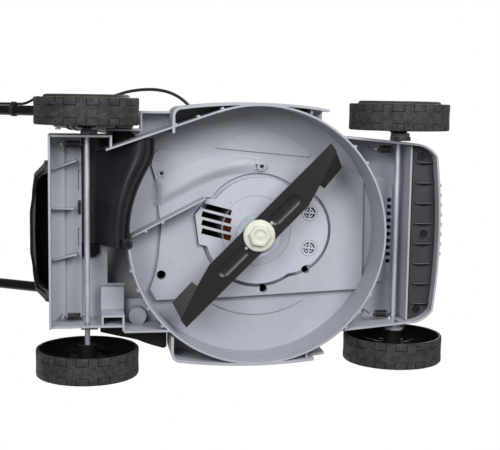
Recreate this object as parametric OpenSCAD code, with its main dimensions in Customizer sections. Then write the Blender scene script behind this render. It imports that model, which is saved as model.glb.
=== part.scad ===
// Cordless rotary lawn mower, standing on its wheels at the middle cutting height.
// Origin on the ground under the blade spindle, +X to the front, +Y to the user's left, +Z up.

/* [Wheels and axles] */
// Radius of each wheel
wheel_r = 75; // [70:1:77]
// Width of each wheel
wheel_w = 39; // [34:1:41]
// Distance from the rear wall forward to the rear axle
rear_inset = 54; // [52:1:56]
// Distance from the front edge back to the front axle
front_inset = 61; // [58:1:64]
// Half the distance between the rear wheels' inner faces
rear_track = 163; // [161:1:167]
// Half the distance between the front wheels' inner faces
front_track = 156; // [155:1:162]
// How far the rear axle lies towards the left wheel in its side play
rear_shift = 5; // [0:1:5]
// Diameter of both axle rods
axle_d = 8; // [7:0.5:9]
// Travel of each axle up and down between the end notches
height_travel = 20; // [16:1:20]

/* [Deck] */
// Inner radius of the blade chamber wall
ring_r = 188; // [186:1:190]
// Wall of the deck moulding
deck_t = 3; // [2.5:0.5:4]
// Height of the chamber wall's lower edge
deck_low = 38; // [34:1:40]
// Height of the chamber ceiling
ceiling = 112; // [110:1:116]
// Rear wall of the deck, behind the spindle
rear_reach = 302; // [298:1:304]
// Front wall of the deck, before the spindle
front_reach = 277; // [272:1:280]
// Right wall of the rear box, from the centre plane
box_right = 144; // [141:1:146]
// Left wall of the rear box, from the centre plane
box_left = 133; // [130:1:136]
// Side skirt, from the centre plane
skirt_y = 190; // [189:1:194]

/* [Blade] */
// Length of the blade from tip to tip
blade_len = 340; // [330:1:350]
// Width of the blade
blade_w = 42; // [38:1:45]
// Thickness of the blade
blade_t = 3; // [2.5:0.5:4]
// Height of the blade's underside at the middle cutting height
blade_z = 44; // [42:1:48]
// Rise of the lifting wings
wing_angle = 28; // [20:1:32]
// Turn of the blade about the spindle at rest
blade_turn = -45; // [-60:1:-30]

/* [Handle] */
// Outer diameter of the handle tubes
tube_d = 19; // [17:0.5:20]
// Wall of the handle tubes
tube_wall = 1.5; // [1:0.25:2.5]
// Centre line of the upper handle's side tubes, from the centre plane
upper_y = 170; // [168:1:172]
// Lean of the lower tubes above the horizontal
lower_lean = 75.4; // [72:0.1:78]
// Length of the lower tubes between their two bolts
lower_len = 396; // [370:1:410]
// Lean of the upper handle above the horizontal
upper_lean = 33; // [28:1:40]
// Length of the upper handle from its bolt to the cross bar
upper_len = 812; // [760:1:840]
// Diameter of the cable
cable_d = 5; // [4:0.5:6]

/* [Covers and battery] */
// Height of the motor cover's top
cover_top = 216; // [206:1:222]
// Half width of the motor cover
cover_y = 122; // [112:1:126]
// Length of the battery pack
pack_l = 74; // [68:1:78]
// Width of the battery pack
pack_w = 112; // [100:1:118]

/* [Axle springs] */
// Mean radius of the spring coils
spring_r = 5.2; // [4.5:0.1:6]
// Diameter of the spring wire
spring_wire = 1.5; // [1:0.1:1.6]
// Curls of each spring
spring_curls = 8; // [6:1:9]
// Rise of each curl
spring_pitch = 2.2; // [2.1:0.1:2.6]

/* [Hidden] */

grey = [0.67, 0.68, 0.72];
pale_grey = [0.74, 0.75, 0.79];
black = [0.1, 0.1, 0.11];
soot = [0.06, 0.06, 0.07];
steel = [0.72, 0.74, 0.78];
cream = [0.86, 0.87, 0.8];
copper = [0.5, 0.24, 0.08];

fine = 96;
round = 48;
small = 24;
gap = 0.3;        // clear space between pieces of different bodies
slit = 0.5;       // clear space between mouldings that lie side by side
over = 1;         // how far a cut runs past the face that it opens

axle_z = wheel_r;
hub_start = -4;
hub_end = wheel_w - 12;
clip_t = 2;
front_wall = 138.6;
rear_x = rear_inset - rear_reach;
front_x = front_reach - front_inset;
// where the tunnel's outer wall starts, and how it runs to touch the chamber wall
side_x = rear_x + 26;
side_y = -124.5;
side_turn = atan2(-side_y, -side_x) - asin((ring_r + deck_t) / norm([side_x, side_y]));
side_len = sqrt(side_x * side_x + side_y * side_y - (ring_r + deck_t) * (ring_r + deck_t));
notch_x = rear_x - rear_inset + 74;
shoulder_x = rear_x + wheel_r + 2;
axle_r = axle_d / 2;
front_shift = rear_shift / 5;
run_fit = 0.05;   // radial clearance of each running bore

deck_top = ceiling + deck_t;
front_low = deck_low + 7;
front_bow = 900;
shoulder_low = 84;
pad_y = 152;
box_mid = (box_left - box_right) / 2;

// Discharge tunnel
tunnel_floor = axle_z + height_travel + axle_r + 5;
tunnel_right = 125;
tunnel_left = 18;
tunnel_top = 178;
hood_front = -158;
mouth_right = box_right - deck_t;
lip_x = -152;
lip_low = deck_low + 2;
lip_high = deck_low + 17;
ramp_foot = -192;
ramp_head = rear_x + axle_r + 8;
panel_front = rear_x - axle_r - 4;

// Motor mount plate
mount_r = 81;
mount_x = 8;
lobe_r = 66;
lobe_x = 50;
mount_face = ceiling - 14;
groove_r = 53;
plug_r = 12.5;
plug_x = 87;
plug_y = 27;

// Spindle and motor
shaft_r = 6;
carrier_r = 32;
bolt_flange_r = 24;
bolt_hex_r = 17;
can_r = 46;
can_low = ceiling + 4;
can_high = 186;
winding_r = 38;
carrier_low = blade_z + blade_t;
carrier_high = carrier_low + 5;

// Front insert
insert_z = 62;
insert_t = 3;
insert_back = front_reach - 41;
insert_y = 132;
rib_x = front_reach - 47;
ridge_count = 8;
ridge_pitch = 30.7;
ridge_r = 30;
insert_screws = [[insert_back + 12, -116], [insert_back + 20, 1], [insert_back + 12, 117]];
screw_r = 5.5;

// Rear flap
flap_x = -rear_reach - slit;
flap_y = 106;
flap_low = tunnel_floor - 6;
flap_top = 176;
flap_depth = 28;
pin_r = 2.5;
flap_pin_x = flap_x - 5;
flap_pin_z = flap_top + 8;
flap_t = 3;

// Motor cover and battery
cover_back = hood_front + 14 + slit;
cover_front = front_x + 10;
cover_t = 3;
cover_corner = 34;
bay_x = 98;
bay_floor = 146;
pack_h = 58;
pack_z = bay_floor + 5;
lid_len = pack_l + 36;
lid_w = pack_w + 26;
lid_t = 3;
lid_pin_x = bay_x - lid_len / 2 - 5;
lid_pin_z = cover_top + 2.5;
pack_x = bay_x + 6;
key_x = pack_x - pack_l / 2 - 8;
gland_x = -74;
gland_y = cover_y + 2;
gland_z = deck_top + 40;

// Handle
tube_r = tube_d / 2;
lower_y = upper_y - tube_d - 1.5;
pivot_x = -200;
pivot_z = 175;
fold_x = pivot_x - lower_len * cos(lower_lean);
fold_z = pivot_z + lower_len * sin(lower_lean);
bolt_r = 3;
tube_end = 15;
bend_r = 60;
bracket_t = 5;
knob_r = 16;
box_len = 118;
box_x = -upper_len + 124;
lever_x = box_x - 18;
lever_r = 4;
lever_drop = 17;
lever_reach = 98;
lever_bend = 12;
lever_open = 112;
clip_fit = 0.1;
bar_x = -upper_len;

// Axle springs
spring_hook = 6;
spring_body = spring_curls * spring_pitch;
spring_gap = spring_hook + axle_r + gap;
spring_z = axle_z;
rear_spring_y = 122;
front_spring_y = 126;

module at_each_side(y) {
    for (s = [-1, 1]) translate([0, s * y, 0]) children();
}

// Slab with round corners, from its low corner
module rounded_rect(l, w, r) {
    translate([r, 0]) square([l - 2 * r, w]);
    translate([0, r]) square([l, w - 2 * r]);
    for (x = [r, l - r], y = [r, w - r]) translate([x, y]) circle(r = r, $fn = round);
}

// Deck

// Outline of the front box, drawn in by i
module front_plan(i = 0) {
    corner = 44;
    cy = 92;
    intersection() {
        union() {
            polygon([[90, 149 - i], [front_reach - corner, 136 - i], [front_reach - corner, i - 136],
                [90, i - 149]]);
            translate([front_reach - corner - 1, -cy]) square([corner + 1 - i, 2 * cy]);
            for (s = [-1, 1]) translate([front_reach - corner, s * cy]) circle(r = corner - i, $fn = fine);
        }
        translate([front_reach - front_bow, 0]) circle(r = front_bow - i, $fn = 360);
    }
}

// Outline of both bowed skirts with their round rear corners, drawn in by i
module skirts_plan(i = 0) {
    bow = 780;
    back = 128;
    front = 106;
    corner = 14;
    edge = skirt_y - 4;
    intersection() {
        translate([-10, bow - skirt_y - 3]) circle(r = bow - i, $fn = 720);
        translate([-10, skirt_y + 3 - bow]) circle(r = bow - i, $fn = 720);
        union() {
            translate([corner - back, -skirt_y - 10]) square([back + front - corner, 2 * skirt_y + 20]);
            translate([i - back, corner - edge]) square([corner + 1 - i, 2 * (edge - corner)]);
            for (s = [-1, 1]) translate([corner - back, s * (edge - corner)]) circle(r = corner - i, $fn = round);
        }
    }
}

// Outline of the deck's shoulder, as seen from above
module deck_plan(i = 0) {
    bulge = 178;
    w = box_left + box_right - 2 * i;
    circle(r = ring_r + deck_t - i, $fn = 180);
    translate([i - rear_reach, i - box_right]) square([rear_reach - 102, w]);
    translate([notch_x + 30 + i, 0]) square([-notch_x - 130, box_left + 7 - i]);
    translate([shoulder_x + i, i - bulge]) square([62, bulge]);
    translate([pivot_x - 20 + i, i - pad_y]) square([60, pad_y]);
    skirts_plan(i);
    front_plan(i);
}

module deck_shell(low, high) {
    translate([0, 0, low]) linear_extrude(high - low) difference() {
        children(0);
        children(1);
    }
}

// Slot that an axle slides in, with its three notches towards the rear
module axle_slot(x, y, w) {
    for (z = [-1, 0, 1]) translate([x - 1.5, y, axle_z + z * height_travel])
        rotate([-90, 0, 0]) cylinder(r = axle_r + 0.4, h = w, $fn = small);
    translate([x - axle_r - 0.4, y, axle_z - height_travel])
        cube([axle_d + 0.8, w, 2 * height_travel]);
    for (z = [-1, 1]) translate([x, y, axle_z + z * height_travel])
        rotate([-90, 0, 0]) cylinder(r = axle_r + 0.4, h = w, $fn = small);
}

module rear_box() {
    wall_low = deck_low + 6;
    h = deck_top - wall_low;
    notch = notch_x + rear_reach;
    // side walls
    translate([-rear_reach, -box_right, wall_low]) cube([notch + 15, deck_t, h]);
    translate([-rear_reach, box_left - deck_t, wall_low]) cube([notch + 33, deck_t, h]);
    translate([notch_x, box_left - 16, wall_low]) cube([deck_t, 15, h]);
    translate([notch_x, box_left - 18, wall_low]) cube([33, deck_t, h]);
    translate([notch_x + 30, box_left - 18, wall_low]) cube([deck_t, 24, h]);
    // rear wall
    translate([-rear_reach, -box_right, deck_low]) cube([deck_t, box_left + box_right, tunnel_floor - deck_low]);
    // tunnel floor behind the axle, with its step and ribs
    translate([-rear_reach, -box_right, tunnel_floor - deck_t])
        cube([rear_reach + panel_front, box_left + box_right, deck_t]);
    translate([-rear_reach, -box_right, tunnel_floor - 14]) cube([22, box_left + box_right, deck_t]);
    translate([-rear_reach + 20, -box_right, tunnel_floor - 14]) cube([2, box_left + box_right, 12]);
    for (r = [[-94, 36, -21], [-37, 30, 0], [38, 35, -13]])
        translate([-rear_reach + 5, r[0], tunnel_floor - 26]) rotate([0, 0, r[2]]) cube([r[1], 2, 24]);
    // wall along the outer side of the tunnel, running on to the chamber wall
    translate([side_x, side_y, deck_low]) rotate([0, 0, side_turn]) cube([side_len + 6, 2.5, ceiling + 1.5 - deck_low]);
    translate([side_x + 6, -box_right, deck_low]) cube([deck_t, 18.5, deck_top - deck_low]);
    for (d = [105, 140]) translate([side_x, side_y, deck_low + 1]) rotate([0, 0, side_turn]) translate([d, -1, 0])
        cylinder(r = 2.4, h = 30, $fn = small);
    // left rear pocket wall, running on to the chamber wall
    translate([notch_x + 32, box_left + 4, deck_low]) cube([-notch_x - 162, deck_t, deck_top - deck_low]);
    // raised box over the left notch, and a round boss in front of it
    translate([notch_x, box_left - 51, 92]) cube([34, 34, deck_top - 92]);
    translate([notch_x + 54, box_left - 7, 88]) cylinder(r = 13, h = ceiling - 88, $fn = round);
}

// Pegs that the axle springs hook on to
module spring_pegs() {
    peg = 1.6;
    for (y = [rear_spring_y, -rear_spring_y - 8])
        translate([rear_x - spring_gap - spring_body - spring_hook - peg - gap, y, axle_z - 4])
            cylinder(r = peg, h = tunnel_floor - 8.5 - axle_z, $fn = small);
    for (y = [front_spring_y, -front_spring_y])
        translate([front_x - spring_gap - spring_body - spring_hook - peg - gap, y, axle_z - 4])
            cylinder(r = peg, h = ceiling + 5 - axle_z, $fn = small);
}

// Opening behind the flap
module tunnel_exit() {
    translate([-rear_reach - over, -flap_y + 10, tunnel_floor])
        cube([deck_t + 2 * over, 2 * flap_y - 20, tunnel_top - 12 - tunnel_floor]);
}

// Side view of the hood with its sloping front, drawn in by i
module hood_profile(i) {
    front = hood_front + 14 - i;
    top = tunnel_top + deck_t - i;
    polygon([[i - rear_reach, ceiling - i], [i - rear_reach, top], [front - 22, top], [front, top - 22],
        [front, ceiling - i]]);
}

module tunnel_hood() {
    w = tunnel_right + deck_t;
    difference() {
        translate([0, w, 0]) rotate([90, 0, 0]) linear_extrude(2 * w) hood_profile(0);
        translate([0, tunnel_right, 0]) rotate([90, 0, 0]) linear_extrude(2 * tunnel_right) hood_profile(deck_t);
        tunnel_exit();
    }
    // ears that carry the flap's hinge pin
    for (y = [-flap_y + 6, flap_y - 10]) translate([flap_pin_x, y, flap_pin_z]) {
        rotate([-90, 0, 0]) cylinder(r = pin_r + 2.5, h = 4, $fn = small);
        translate([0, 0, -pin_r - 2.5]) cube([flap_x - flap_pin_x + slit + deck_t, 4, 2 * pin_r + 2]);
        translate([flap_x - flap_pin_x + slit, 0, -12]) cube([deck_t, 4, 12]);
    }
}

module chamber_wall() {
    difference() {
        translate([0, 0, deck_low]) cylinder(r = ring_r + deck_t, h = ceiling - deck_low, $fn = 180);
        translate([0, 0, deck_low - over]) cylinder(r = ring_r, h = ceiling - deck_low + 2 * over, $fn = 180);
        // mouth of the discharge tunnel
        translate([-ring_r - 20, -mouth_right, deck_low - over])
            cube([ring_r, mouth_right + tunnel_left, ceiling - deck_low + 2 * over]);
        translate([side_x, side_y, deck_low - over]) rotate([0, 0, side_turn]) translate([60, 2.5, 0])
            cube([side_len - 60, 60, ceiling - deck_low + 2 * over]);
    }
    // pegs outside the wall
    for (a = [137, 147, 156, 165, 28, 37, 46, -34, -43, -107])
        rotate([0, 0, a]) translate([ring_r + deck_t + 1, 0, deck_low + 1]) cylinder(r = 2.4, h = 30, $fn = small);
}

// Relief pressed into the ceiling
module ceiling_relief() {
    drop = 12;
    intersection() {
        translate([0, 0, ceiling - drop]) cylinder(r = ring_r, h = drop, $fn = 180);
        difference() {
            translate([0, 0, ceiling - drop]) linear_extrude(drop)
                polygon([[-146, -122], [86, -100], [150, -94], [173, -80], [173, 92], [-37, 102], [-145, 105],
                    [-155, 88], [-147, 66], [-142, 40], [-138, -6], [-142, -28], [-144, -65], [-149, -85],
                    [-153, -97], [-151, -112]]);
            translate([mount_x, 0, ceiling - drop - over]) cylinder(r = mount_r + 6, h = drop + 2 * over, $fn = fine);
            translate([lobe_x, 0, ceiling - drop - over]) cylinder(r = lobe_r + 6, h = drop + 2 * over, $fn = fine);
            translate([0, 0, ceiling - drop - over]) linear_extrude(drop + 2 * over)
                polygon([[-89, -26.5], [-71, -50], [-30, -50], [-30, 32], [-83, 21.5]]);
            // its face falls away towards the left side
            translate([-300, -122, ceiling - 3]) rotate([-1.8, 0, 0]) translate([0, -60, -40]) cube([600, 400, 40]);
        }
    }
    translate([0, 0, ceiling - 2]) linear_extrude(2) intersection() {
        translate([12, -46]) circle(r = 104, $fn = fine);
        translate([12, -118]) rotate([0, 0, 5]) translate([-78, -60]) square([154, 60]);
    }
    translate([0, 0, ceiling - 2]) linear_extrude(2) intersection() {
        translate([8, -4]) circle(r = 135, $fn = fine);
        translate([-74, 109]) square([160, 42]);
    }
    // baffle between the tunnel mouth and the motor mount
    translate([-184, 4, 74]) rotate([0, 0, -27.4]) cube([122, 2.5, ceiling - 74]);
    for (d = [22, 50]) translate([-184, 4, 74]) rotate([0, 0, -27.4]) translate([d, 3, 0])
        cylinder(r = 2.4, h = ceiling - 74, $fn = small);
    // boss round the upper screw hole
    translate([13, -97, ceiling - 9]) cylinder(r = 7, h = 9, $fn = small);
}

module deck_holes() {
    for (p = [[-138, -86, 3], [13, -97, 3.2], [-138, 67, 7], [18, 90, 6], [84, 62, 5]])
        translate([p[0], p[1], ceiling - 20]) cylinder(r = p[2], h = 30, $fn = small);
    // row of air slots in the front plate
    for (i = [0:9]) translate([front_x - 5, -49 + i * 10.6, ceiling - 20]) cube([7, 6, 30]);
    // way through for the motor
    translate([mount_x, 0, ceiling - 20]) cylinder(r = mount_r - 12, h = 40, $fn = fine);
    translate([0, 0, ceiling - 20]) linear_extrude(30)
        polygon([[-82, -20], [-66, -42], [-40, -42], [-40, 24], [-78, 16]]);
    // deep pocket beside the chute
    difference() {
        translate([0, 0, ceiling - 4]) linear_extrude(deck_t + 5) polygon([[notch_x + 10, tunnel_left + 6],
            [hood_front + 6, tunnel_left + 6], [hood_front + 6, box_left - 29], [notch_x + 36, box_left - 29],
            [notch_x + 36, box_left - 53], [notch_x + 10, box_left - 53]]);
        cylinder(r = ring_r + deck_t + 1.5, h = deck_top + 10, $fn = 180);
    }
    // way up into the tunnel hood, outside the chamber's circle
    difference() {
        translate([-rear_reach + deck_t, -tunnel_right, ceiling - 4])
            cube([rear_reach - deck_t + hood_front, tunnel_right + tunnel_left, deck_t + 5]);
        cylinder(r = ring_r - 3, h = deck_top + 10, $fn = 180);
    }
    axle_slot(rear_x, -box_right - over, deck_t + 2 * over);
    axle_slot(rear_x, box_left - deck_t - over, deck_t + 2 * over);
    axle_slot(front_x, -front_wall - 3.4, 14);
    axle_slot(front_x, front_wall - 10.6, 14);
}

module front_box() {
    difference() {
        deck_shell(front_low, ceiling) {
            front_plan(0);
            front_plan(deck_t);
        }
        translate([0, 0, front_low - over]) cylinder(r = ring_r + 1, h = ceiling, $fn = 180);
    }
    translate([rib_x, -insert_y, 56]) cube([deck_t, 2 * insert_y, ceiling - 56]);
    // plate round the air slots
    translate([0, 0, ceiling - 6]) linear_extrude(6) difference() {
        translate([150, -82]) rounded_rect(front_x - 147, 164, 22);
        circle(r = ring_r, $fn = 180);
    }
    // teeth of the front grille
    translate([front_reach - front_bow, 0, front_low]) for (i = [0:7]) rotate([0, 0, (i - 5) * 0.942])
        translate([front_bow - 2, -2.5, 0]) cube([4, 5, 16]);
    // bosses that the insert's screws go into
    for (p = insert_screws) translate([p[0], p[1], insert_z + insert_t])
        cylinder(r = 6, h = ceiling - insert_z - insert_t, $fn = small);
}

module skirts() {
    difference() {
        deck_shell(deck_low, ceiling) {
            skirts_plan(0);
            skirts_plan(4);
        }
        translate([-300, -skirt_y + 42, deck_low - over]) cube([500, 2 * skirt_y - 84, ceiling]);
        translate([0, 0, deck_low - over]) cylinder(r = ring_r + 1, h = ceiling, $fn = 180);
        translate([85, -skirt_y - 10, deck_low - over]) cube([60, 2 * skirt_y + 20, 26]);
    }
    for (s = [-1, 1]) translate([74, s * (skirt_y - 8) - 5, deck_low + 8]) cube([3, 10, ceiling - deck_low - 8]);
}

module deck() {
    color(grey) {
        difference() {
            union() {
                translate([0, 0, ceiling]) linear_extrude(deck_t) deck_plan(0);
                deck_shell(shoulder_low, ceiling) {
                    deck_plan(0);
                    deck_plan(deck_t);
                }
                chamber_wall();
                rear_box();
                front_box();
                skirts();
                ceiling_relief();
                spring_pegs();
            }
            deck_holes();
            tunnel_exit();
            // the shoulder is open where the wheels pass and where the tunnel leaves
            difference() {
                translate([-rear_reach + deck_t, -tunnel_right, tunnel_floor])
                    cube([rear_reach - ring_r + 30, tunnel_right + tunnel_left, ceiling - tunnel_floor + 4]);
                cylinder(r = ring_r - 3, h = deck_top + 10, $fn = 180);
            }
        }
        tunnel_hood();
    }
}

// Plate under the motor, with louvres over the windings
module motor_mount() {
    slot_len = 46;
    slot_turn = 14.5;
    color(pale_grey) difference() {
        union() {
            translate([mount_x, 0, mount_face]) cylinder(r = mount_r, h = ceiling - mount_face, $fn = fine);
            translate([lobe_x, 0, mount_face]) cylinder(r = lobe_r, h = ceiling - mount_face, $fn = fine);
            translate([0, 0, mount_face - 10]) cylinder(r = 22, h = 12, $fn = round);
            // bulge round the louvres
            translate([0, 0, mount_face]) linear_extrude(ceiling - mount_face)
                polygon([[-88, -25], [-70, -48], [-40, -48], [-40, 30], [-82, 20]]);
        }
        translate([0, 0, mount_face + deck_t]) linear_extrude(30)
            polygon([[-85, -24], [-69, -45], [-38, -45], [-38, 27], [-80, 18]]);
        translate([mount_x, 0, mount_face + deck_t]) cylinder(r = mount_r - deck_t, h = 30, $fn = fine);
        translate([lobe_x, 0, mount_face + deck_t]) cylinder(r = lobe_r - deck_t, h = 30, $fn = fine);
        // fine groove round the hub
        translate([mount_x - 4, 0, mount_face - over]) difference() {
            cylinder(r = groove_r + 0.5, h = over + 0.8, $fn = fine);
            translate([0, 0, -over]) cylinder(r = groove_r - 0.5, h = 4, $fn = fine);
        }
        // louvres
        for (i = [0:3]) translate([-77, -43 + i * 12.8, mount_face - over]) rotate([0, 0, slot_turn])
            cube([slot_len, 8.5, 12]);
        // seats of the round plugs
        at_each_side(plug_y) translate([plug_x, 0, mount_face - over]) cylinder(r = plug_r, h = 12, $fn = round);
        // notch at the lower front
        translate([84, 62, mount_face - over]) cylinder(r = 9, h = 20, $fn = small);
        translate([0, 0, mount_face - 11]) cylinder(r = 16 + run_fit, h = 20, $fn = round);
    }
}

// Two slotted plugs beside the hub
module vent_plugs() {
    color(pale_grey) at_each_side(plug_y) translate([plug_x, 0, mount_face - 0.5]) difference() {
        cylinder(r = plug_r - 0.2, h = 3.3, $fn = round);
        for (a = [45, 135, 225, 315]) rotate([0, 0, a]) translate([3, -1.2, -over]) cube([7, 2.4, 6]);
        difference() {
            translate([0, 0, -over]) cylinder(r = 10, h = 1.8, $fn = round);
            translate([0, 0, -2 * over]) cylinder(r = 8.6, h = 4, $fn = round);
            for (a = [0, 90]) rotate([0, 0, a]) translate([-12, -2, -2]) cube([24, 4, 6]);
        }
    }
}

// Black plastic chute that lifts the cuttings over the rear axle
module discharge_chute() {
    y0 = -mouth_right + slit;
    w = mouth_right + tunnel_left - 2 * slit;
    rise = tunnel_floor - deck_low - 6;
    color(soot) difference() {
        union() {
            translate([0, y0 + w, 0]) rotate([90, 0, 0]) linear_extrude(w)
                polygon([[lip_x, deck_low + 6], [ramp_foot, deck_low + 6], [ramp_head, tunnel_floor],
                    [panel_front + slit, tunnel_floor], [panel_front + slit, tunnel_floor - deck_t],
                    [ramp_head + 2, tunnel_floor - deck_t], [ramp_foot, deck_low + 3], [lip_x, deck_low + 3]]);
            // left cheek
            translate([0, tunnel_left - slit, 0]) rotate([90, 0, 0]) linear_extrude(deck_t)
                polygon([[-170, deck_low + 3], [ramp_foot, deck_low + 3], [ramp_head, tunnel_floor],
                    [ramp_head, ceiling - slit], [-170, ceiling - slit]]);
            // curved lip on the chamber's circle
            intersection() {
                translate([0, 0, lip_low]) cylinder(r = ring_r + 5, h = lip_high - lip_low, $fn = 180);
                translate([-ring_r - 10, y0, 0]) cube([64, w, ceiling]);
            }
            translate([lip_x - 5, y0, lip_low]) cube([5, 42, lip_high - lip_low]);
            // screw lug
            translate([-190, tunnel_left - 10, deck_low + 3]) cylinder(r = 7, h = 6, $fn = small);
        }
        translate([0, 0, lip_low - over]) cylinder(r = ring_r, h = ceiling, $fn = 180);
        translate([lip_x, y0 - over, lip_low - over]) cube([40, w + 2, ceiling]);
        // clear of the tunnel's outer wall
        translate([0, 0, lip_low - over]) linear_extrude(ceiling)
            translate([side_x, side_y]) rotate(side_turn) translate([-8, -40]) square([side_len, 43.5]);
    }
}

// Black panel under the front of the deck
module front_insert() {
    color(black) difference() {
        union() {
            translate([0, 0, insert_z]) linear_extrude(insert_t) intersection() {
                front_plan(deck_t + slit);
                translate([insert_back, -insert_y]) square([60, 2 * insert_y]);
            }
            intersection() {
                translate([0, 0, insert_z - 3]) linear_extrude(4) front_plan(deck_t + slit);
                for (i = [0:ridge_count - 1]) translate([insert_back + 19, i * ridge_pitch - 107.5 - ridge_r,
                    insert_z - 3]) difference() {
                        cylinder(r = ridge_r + 3.6, h = 4, $fn = fine);
                        translate([-50, -50, -over]) cube([100, 50 + ridge_r, 6]);
                }
            }
        }
        for (p = insert_screws) translate([p[0], p[1], insert_z - over])
            cylinder(r = 3, h = insert_t + 2 * over, $fn = small);
    }
}

module screw_head(r, h) {
    difference() {
        cylinder(r = r, h = h, $fn = small);
        for (a = [0, 90]) rotate([0, 0, a]) translate([-r * 0.6, -0.6, -over]) cube([r * 1.2, 1.2, over + h / 2]);
    }
}

module front_insert_screws() {
    color(steel) for (p = insert_screws) translate([p[0], p[1], insert_z - 3 - gap])
        screw_head(screw_r, 3);
}

module mount_screws() {
    color(steel) {
        translate([-138, -86, ceiling + 0.2]) screw_head(2.8, 2.6);
        translate([13, -97, ceiling - 6]) screw_head(3, 5);
    }
}

// Hood over the motor and battery

module cover_form(i) {
    hull() for (x = [cover_back + cover_corner, cover_front - cover_corner], s = [-1, 1])
        translate([x, s * (cover_y - cover_corner), deck_top]) {
            cylinder(r = cover_corner - i, h = 20, $fn = 32);
            translate([-x * 0.05, -s * 8, 0]) cylinder(r = cover_corner - 12 - i, h = cover_top - deck_top - i, $fn = 32);
        }
}

module motor_cover() {
    color(black) difference() {
        union() {
            cover_form(0);
            // gland that takes the cable
            translate([gland_x, -gland_y, gland_z]) rotate([-90, 0, 0]) cylinder(r1 = 5, r2 = 8, h = 12, $fn = 32);
        }
        translate([0, 0, -0.01]) cover_form(cover_t);
        // battery bay
        translate([bay_x - lid_len / 2 + 6, -lid_w / 2 + 6, bay_floor]) cube([lid_len - 12, lid_w - 12, 90]);
    }
}

// Tray that the battery slides into
module battery_rails() {
    l = lid_len - 14;
    w = lid_w - 14;
    color(black) translate([bay_x, 0, 0]) difference() {
        translate([-l / 2, -w / 2, bay_floor - 3]) cube([l, w, 54]);
        translate([-l / 2 + 3, -w / 2 + 3, bay_floor]) cube([l - 6, w - 6, 60]);
    }
    color(black) at_each_side(pack_w / 2 + 3) translate([bay_x - 40, -1.5, bay_floor]) cube([80, 3, 30]);
    // ledges under the pack
    color(black) at_each_side(pack_w / 2 - 8) translate([pack_x - pack_l / 2 + 4, -3, bay_floor - over])
        cube([pack_l - 8, 6, pack_z - gap - bay_floor + over]);
    // posts down to the deck
    color(black) for (x = [-44, 44]) translate([bay_x + x - 4, -20, deck_top]) cube([8, 40, bay_floor - 3 - deck_top]);
}

module battery_terminals() {
    color(steel) for (y = [-18, -6, 6, 18]) translate([bay_x - 1, y - 1, bay_floor]) cube([14, 2, 4.5]);
}

module control_board() {
    color([0.1, 0.3, 0.15]) translate([-128, -40, deck_top + 8]) cube([50, 80, 2]);
    color(black) for (x = [-124, -88], y = [-34, 28]) translate([x, y, deck_top]) cube([5, 6, 8]);
}

// Motor and spindle

module motor_can() {
    color(steel) difference() {
        union() {
            translate([0, 0, can_low]) cylinder(r = can_r, h = can_high - can_low, $fn = fine);
            translate([0, 0, can_high]) cylinder(r = 14, h = 8, $fn = round);
            for (a = [30, 150, 270]) rotate([0, 0, a]) translate([can_r - 1, -7, can_low + 1]) cube([37, 14, 4]);
            for (a = [30, 150, 270]) rotate([0, 0, a]) translate([can_r + 24, -6, deck_top])
                cube([11, 12, can_low - deck_top + 2]);
        }
        translate([0, 0, can_low - over]) cylinder(r = can_r - 2.5, h = can_high - can_low - 3, $fn = fine);
        translate([0, 0, can_low]) cylinder(r = shaft_r + run_fit, h = 100, $fn = round);
    }
}

module motor_windings() {
    color(copper) difference() {
        union() {
            translate([0, 0, can_low - 6]) cylinder(r = winding_r, h = 56, $fn = round);
            translate([0, 0, can_low + 6]) cylinder(r = can_r - 2.5 - gap, h = 32, $fn = fine);
        }
        translate([0, 0, can_low - 8]) cylinder(r = 25, h = 70, $fn = round);
        for (a = [0:30:330]) rotate([0, 0, a]) translate([winding_r - 4, -1, can_low - 7]) cube([6, 2, 10]);
    }
}

module spindle_bearing() {
    color(steel) difference() {
        translate([0, 0, mount_face - 9]) cylinder(r = 16, h = 11, $fn = round);
        translate([0, 0, mount_face - 10]) cylinder(r = shaft_r + run_fit, h = 14, $fn = round);
    }
}

module rotor_shaft() {
    color(steel) {
        translate([0, 0, carrier_high]) cylinder(r = shaft_r, h = can_high + 6 - carrier_high, $fn = round);
        translate([0, 0, blade_z - 4]) cylinder(r = 5, h = carrier_high + 4 - blade_z, $fn = round);
    }
}

module rotor_core() {
    color(steel) difference() {
        translate([0, 0, can_low + 4]) cylinder(r = 24, h = 44, $fn = round);
        translate([0, 0, can_low]) cylinder(r = shaft_r, h = 60, $fn = round);
    }
}

// Flange that the blade is clamped against
module blade_carrier() {
    color(steel) difference() {
        union() {
            translate([0, 0, carrier_low]) cylinder(r = carrier_r, h = carrier_high - carrier_low - 2, $fn = round);
            translate([0, 0, carrier_low]) cylinder(r = 20, h = 22, $fn = round);
        }
        translate([0, 0, carrier_low - over]) cylinder(r = 5, h = 8, $fn = round);
        translate([0, 0, carrier_high]) cylinder(r = shaft_r, h = 30, $fn = round);
    }
}

// One half of the blade: flat bar, ground edge and lifting wing
module blade_half() {
    half = blade_len / 2;
    hw = blade_w / 2;
    notch_u = half - 54;
    bend = [[half - 2, -7], [notch_u, 11]];
    along = unit(bend[0] - bend[1]);
    seat = bend[1] + 1.5 * [along[1], -along[0]];
    bend_turn = atan2(-along[1], -along[0]) + 180;
    linear_extrude(blade_t) polygon([[0, -hw], [half, -hw], bend[0], bend[1], [notch_u - 34, hw], [0, hw]]);
    translate([seat[0], seat[1], 0.2]) rotate([0, 0, bend_turn]) rotate([wing_angle, 0, 0])
        rotate([0, 0, -bend_turn]) linear_extrude(blade_t - 0.2)
            polygon([[0, 0], bend[0] - bend[1], [half - 10, hw] - seat, [notch_u + 2, hw + 1] - seat]);
}

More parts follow.
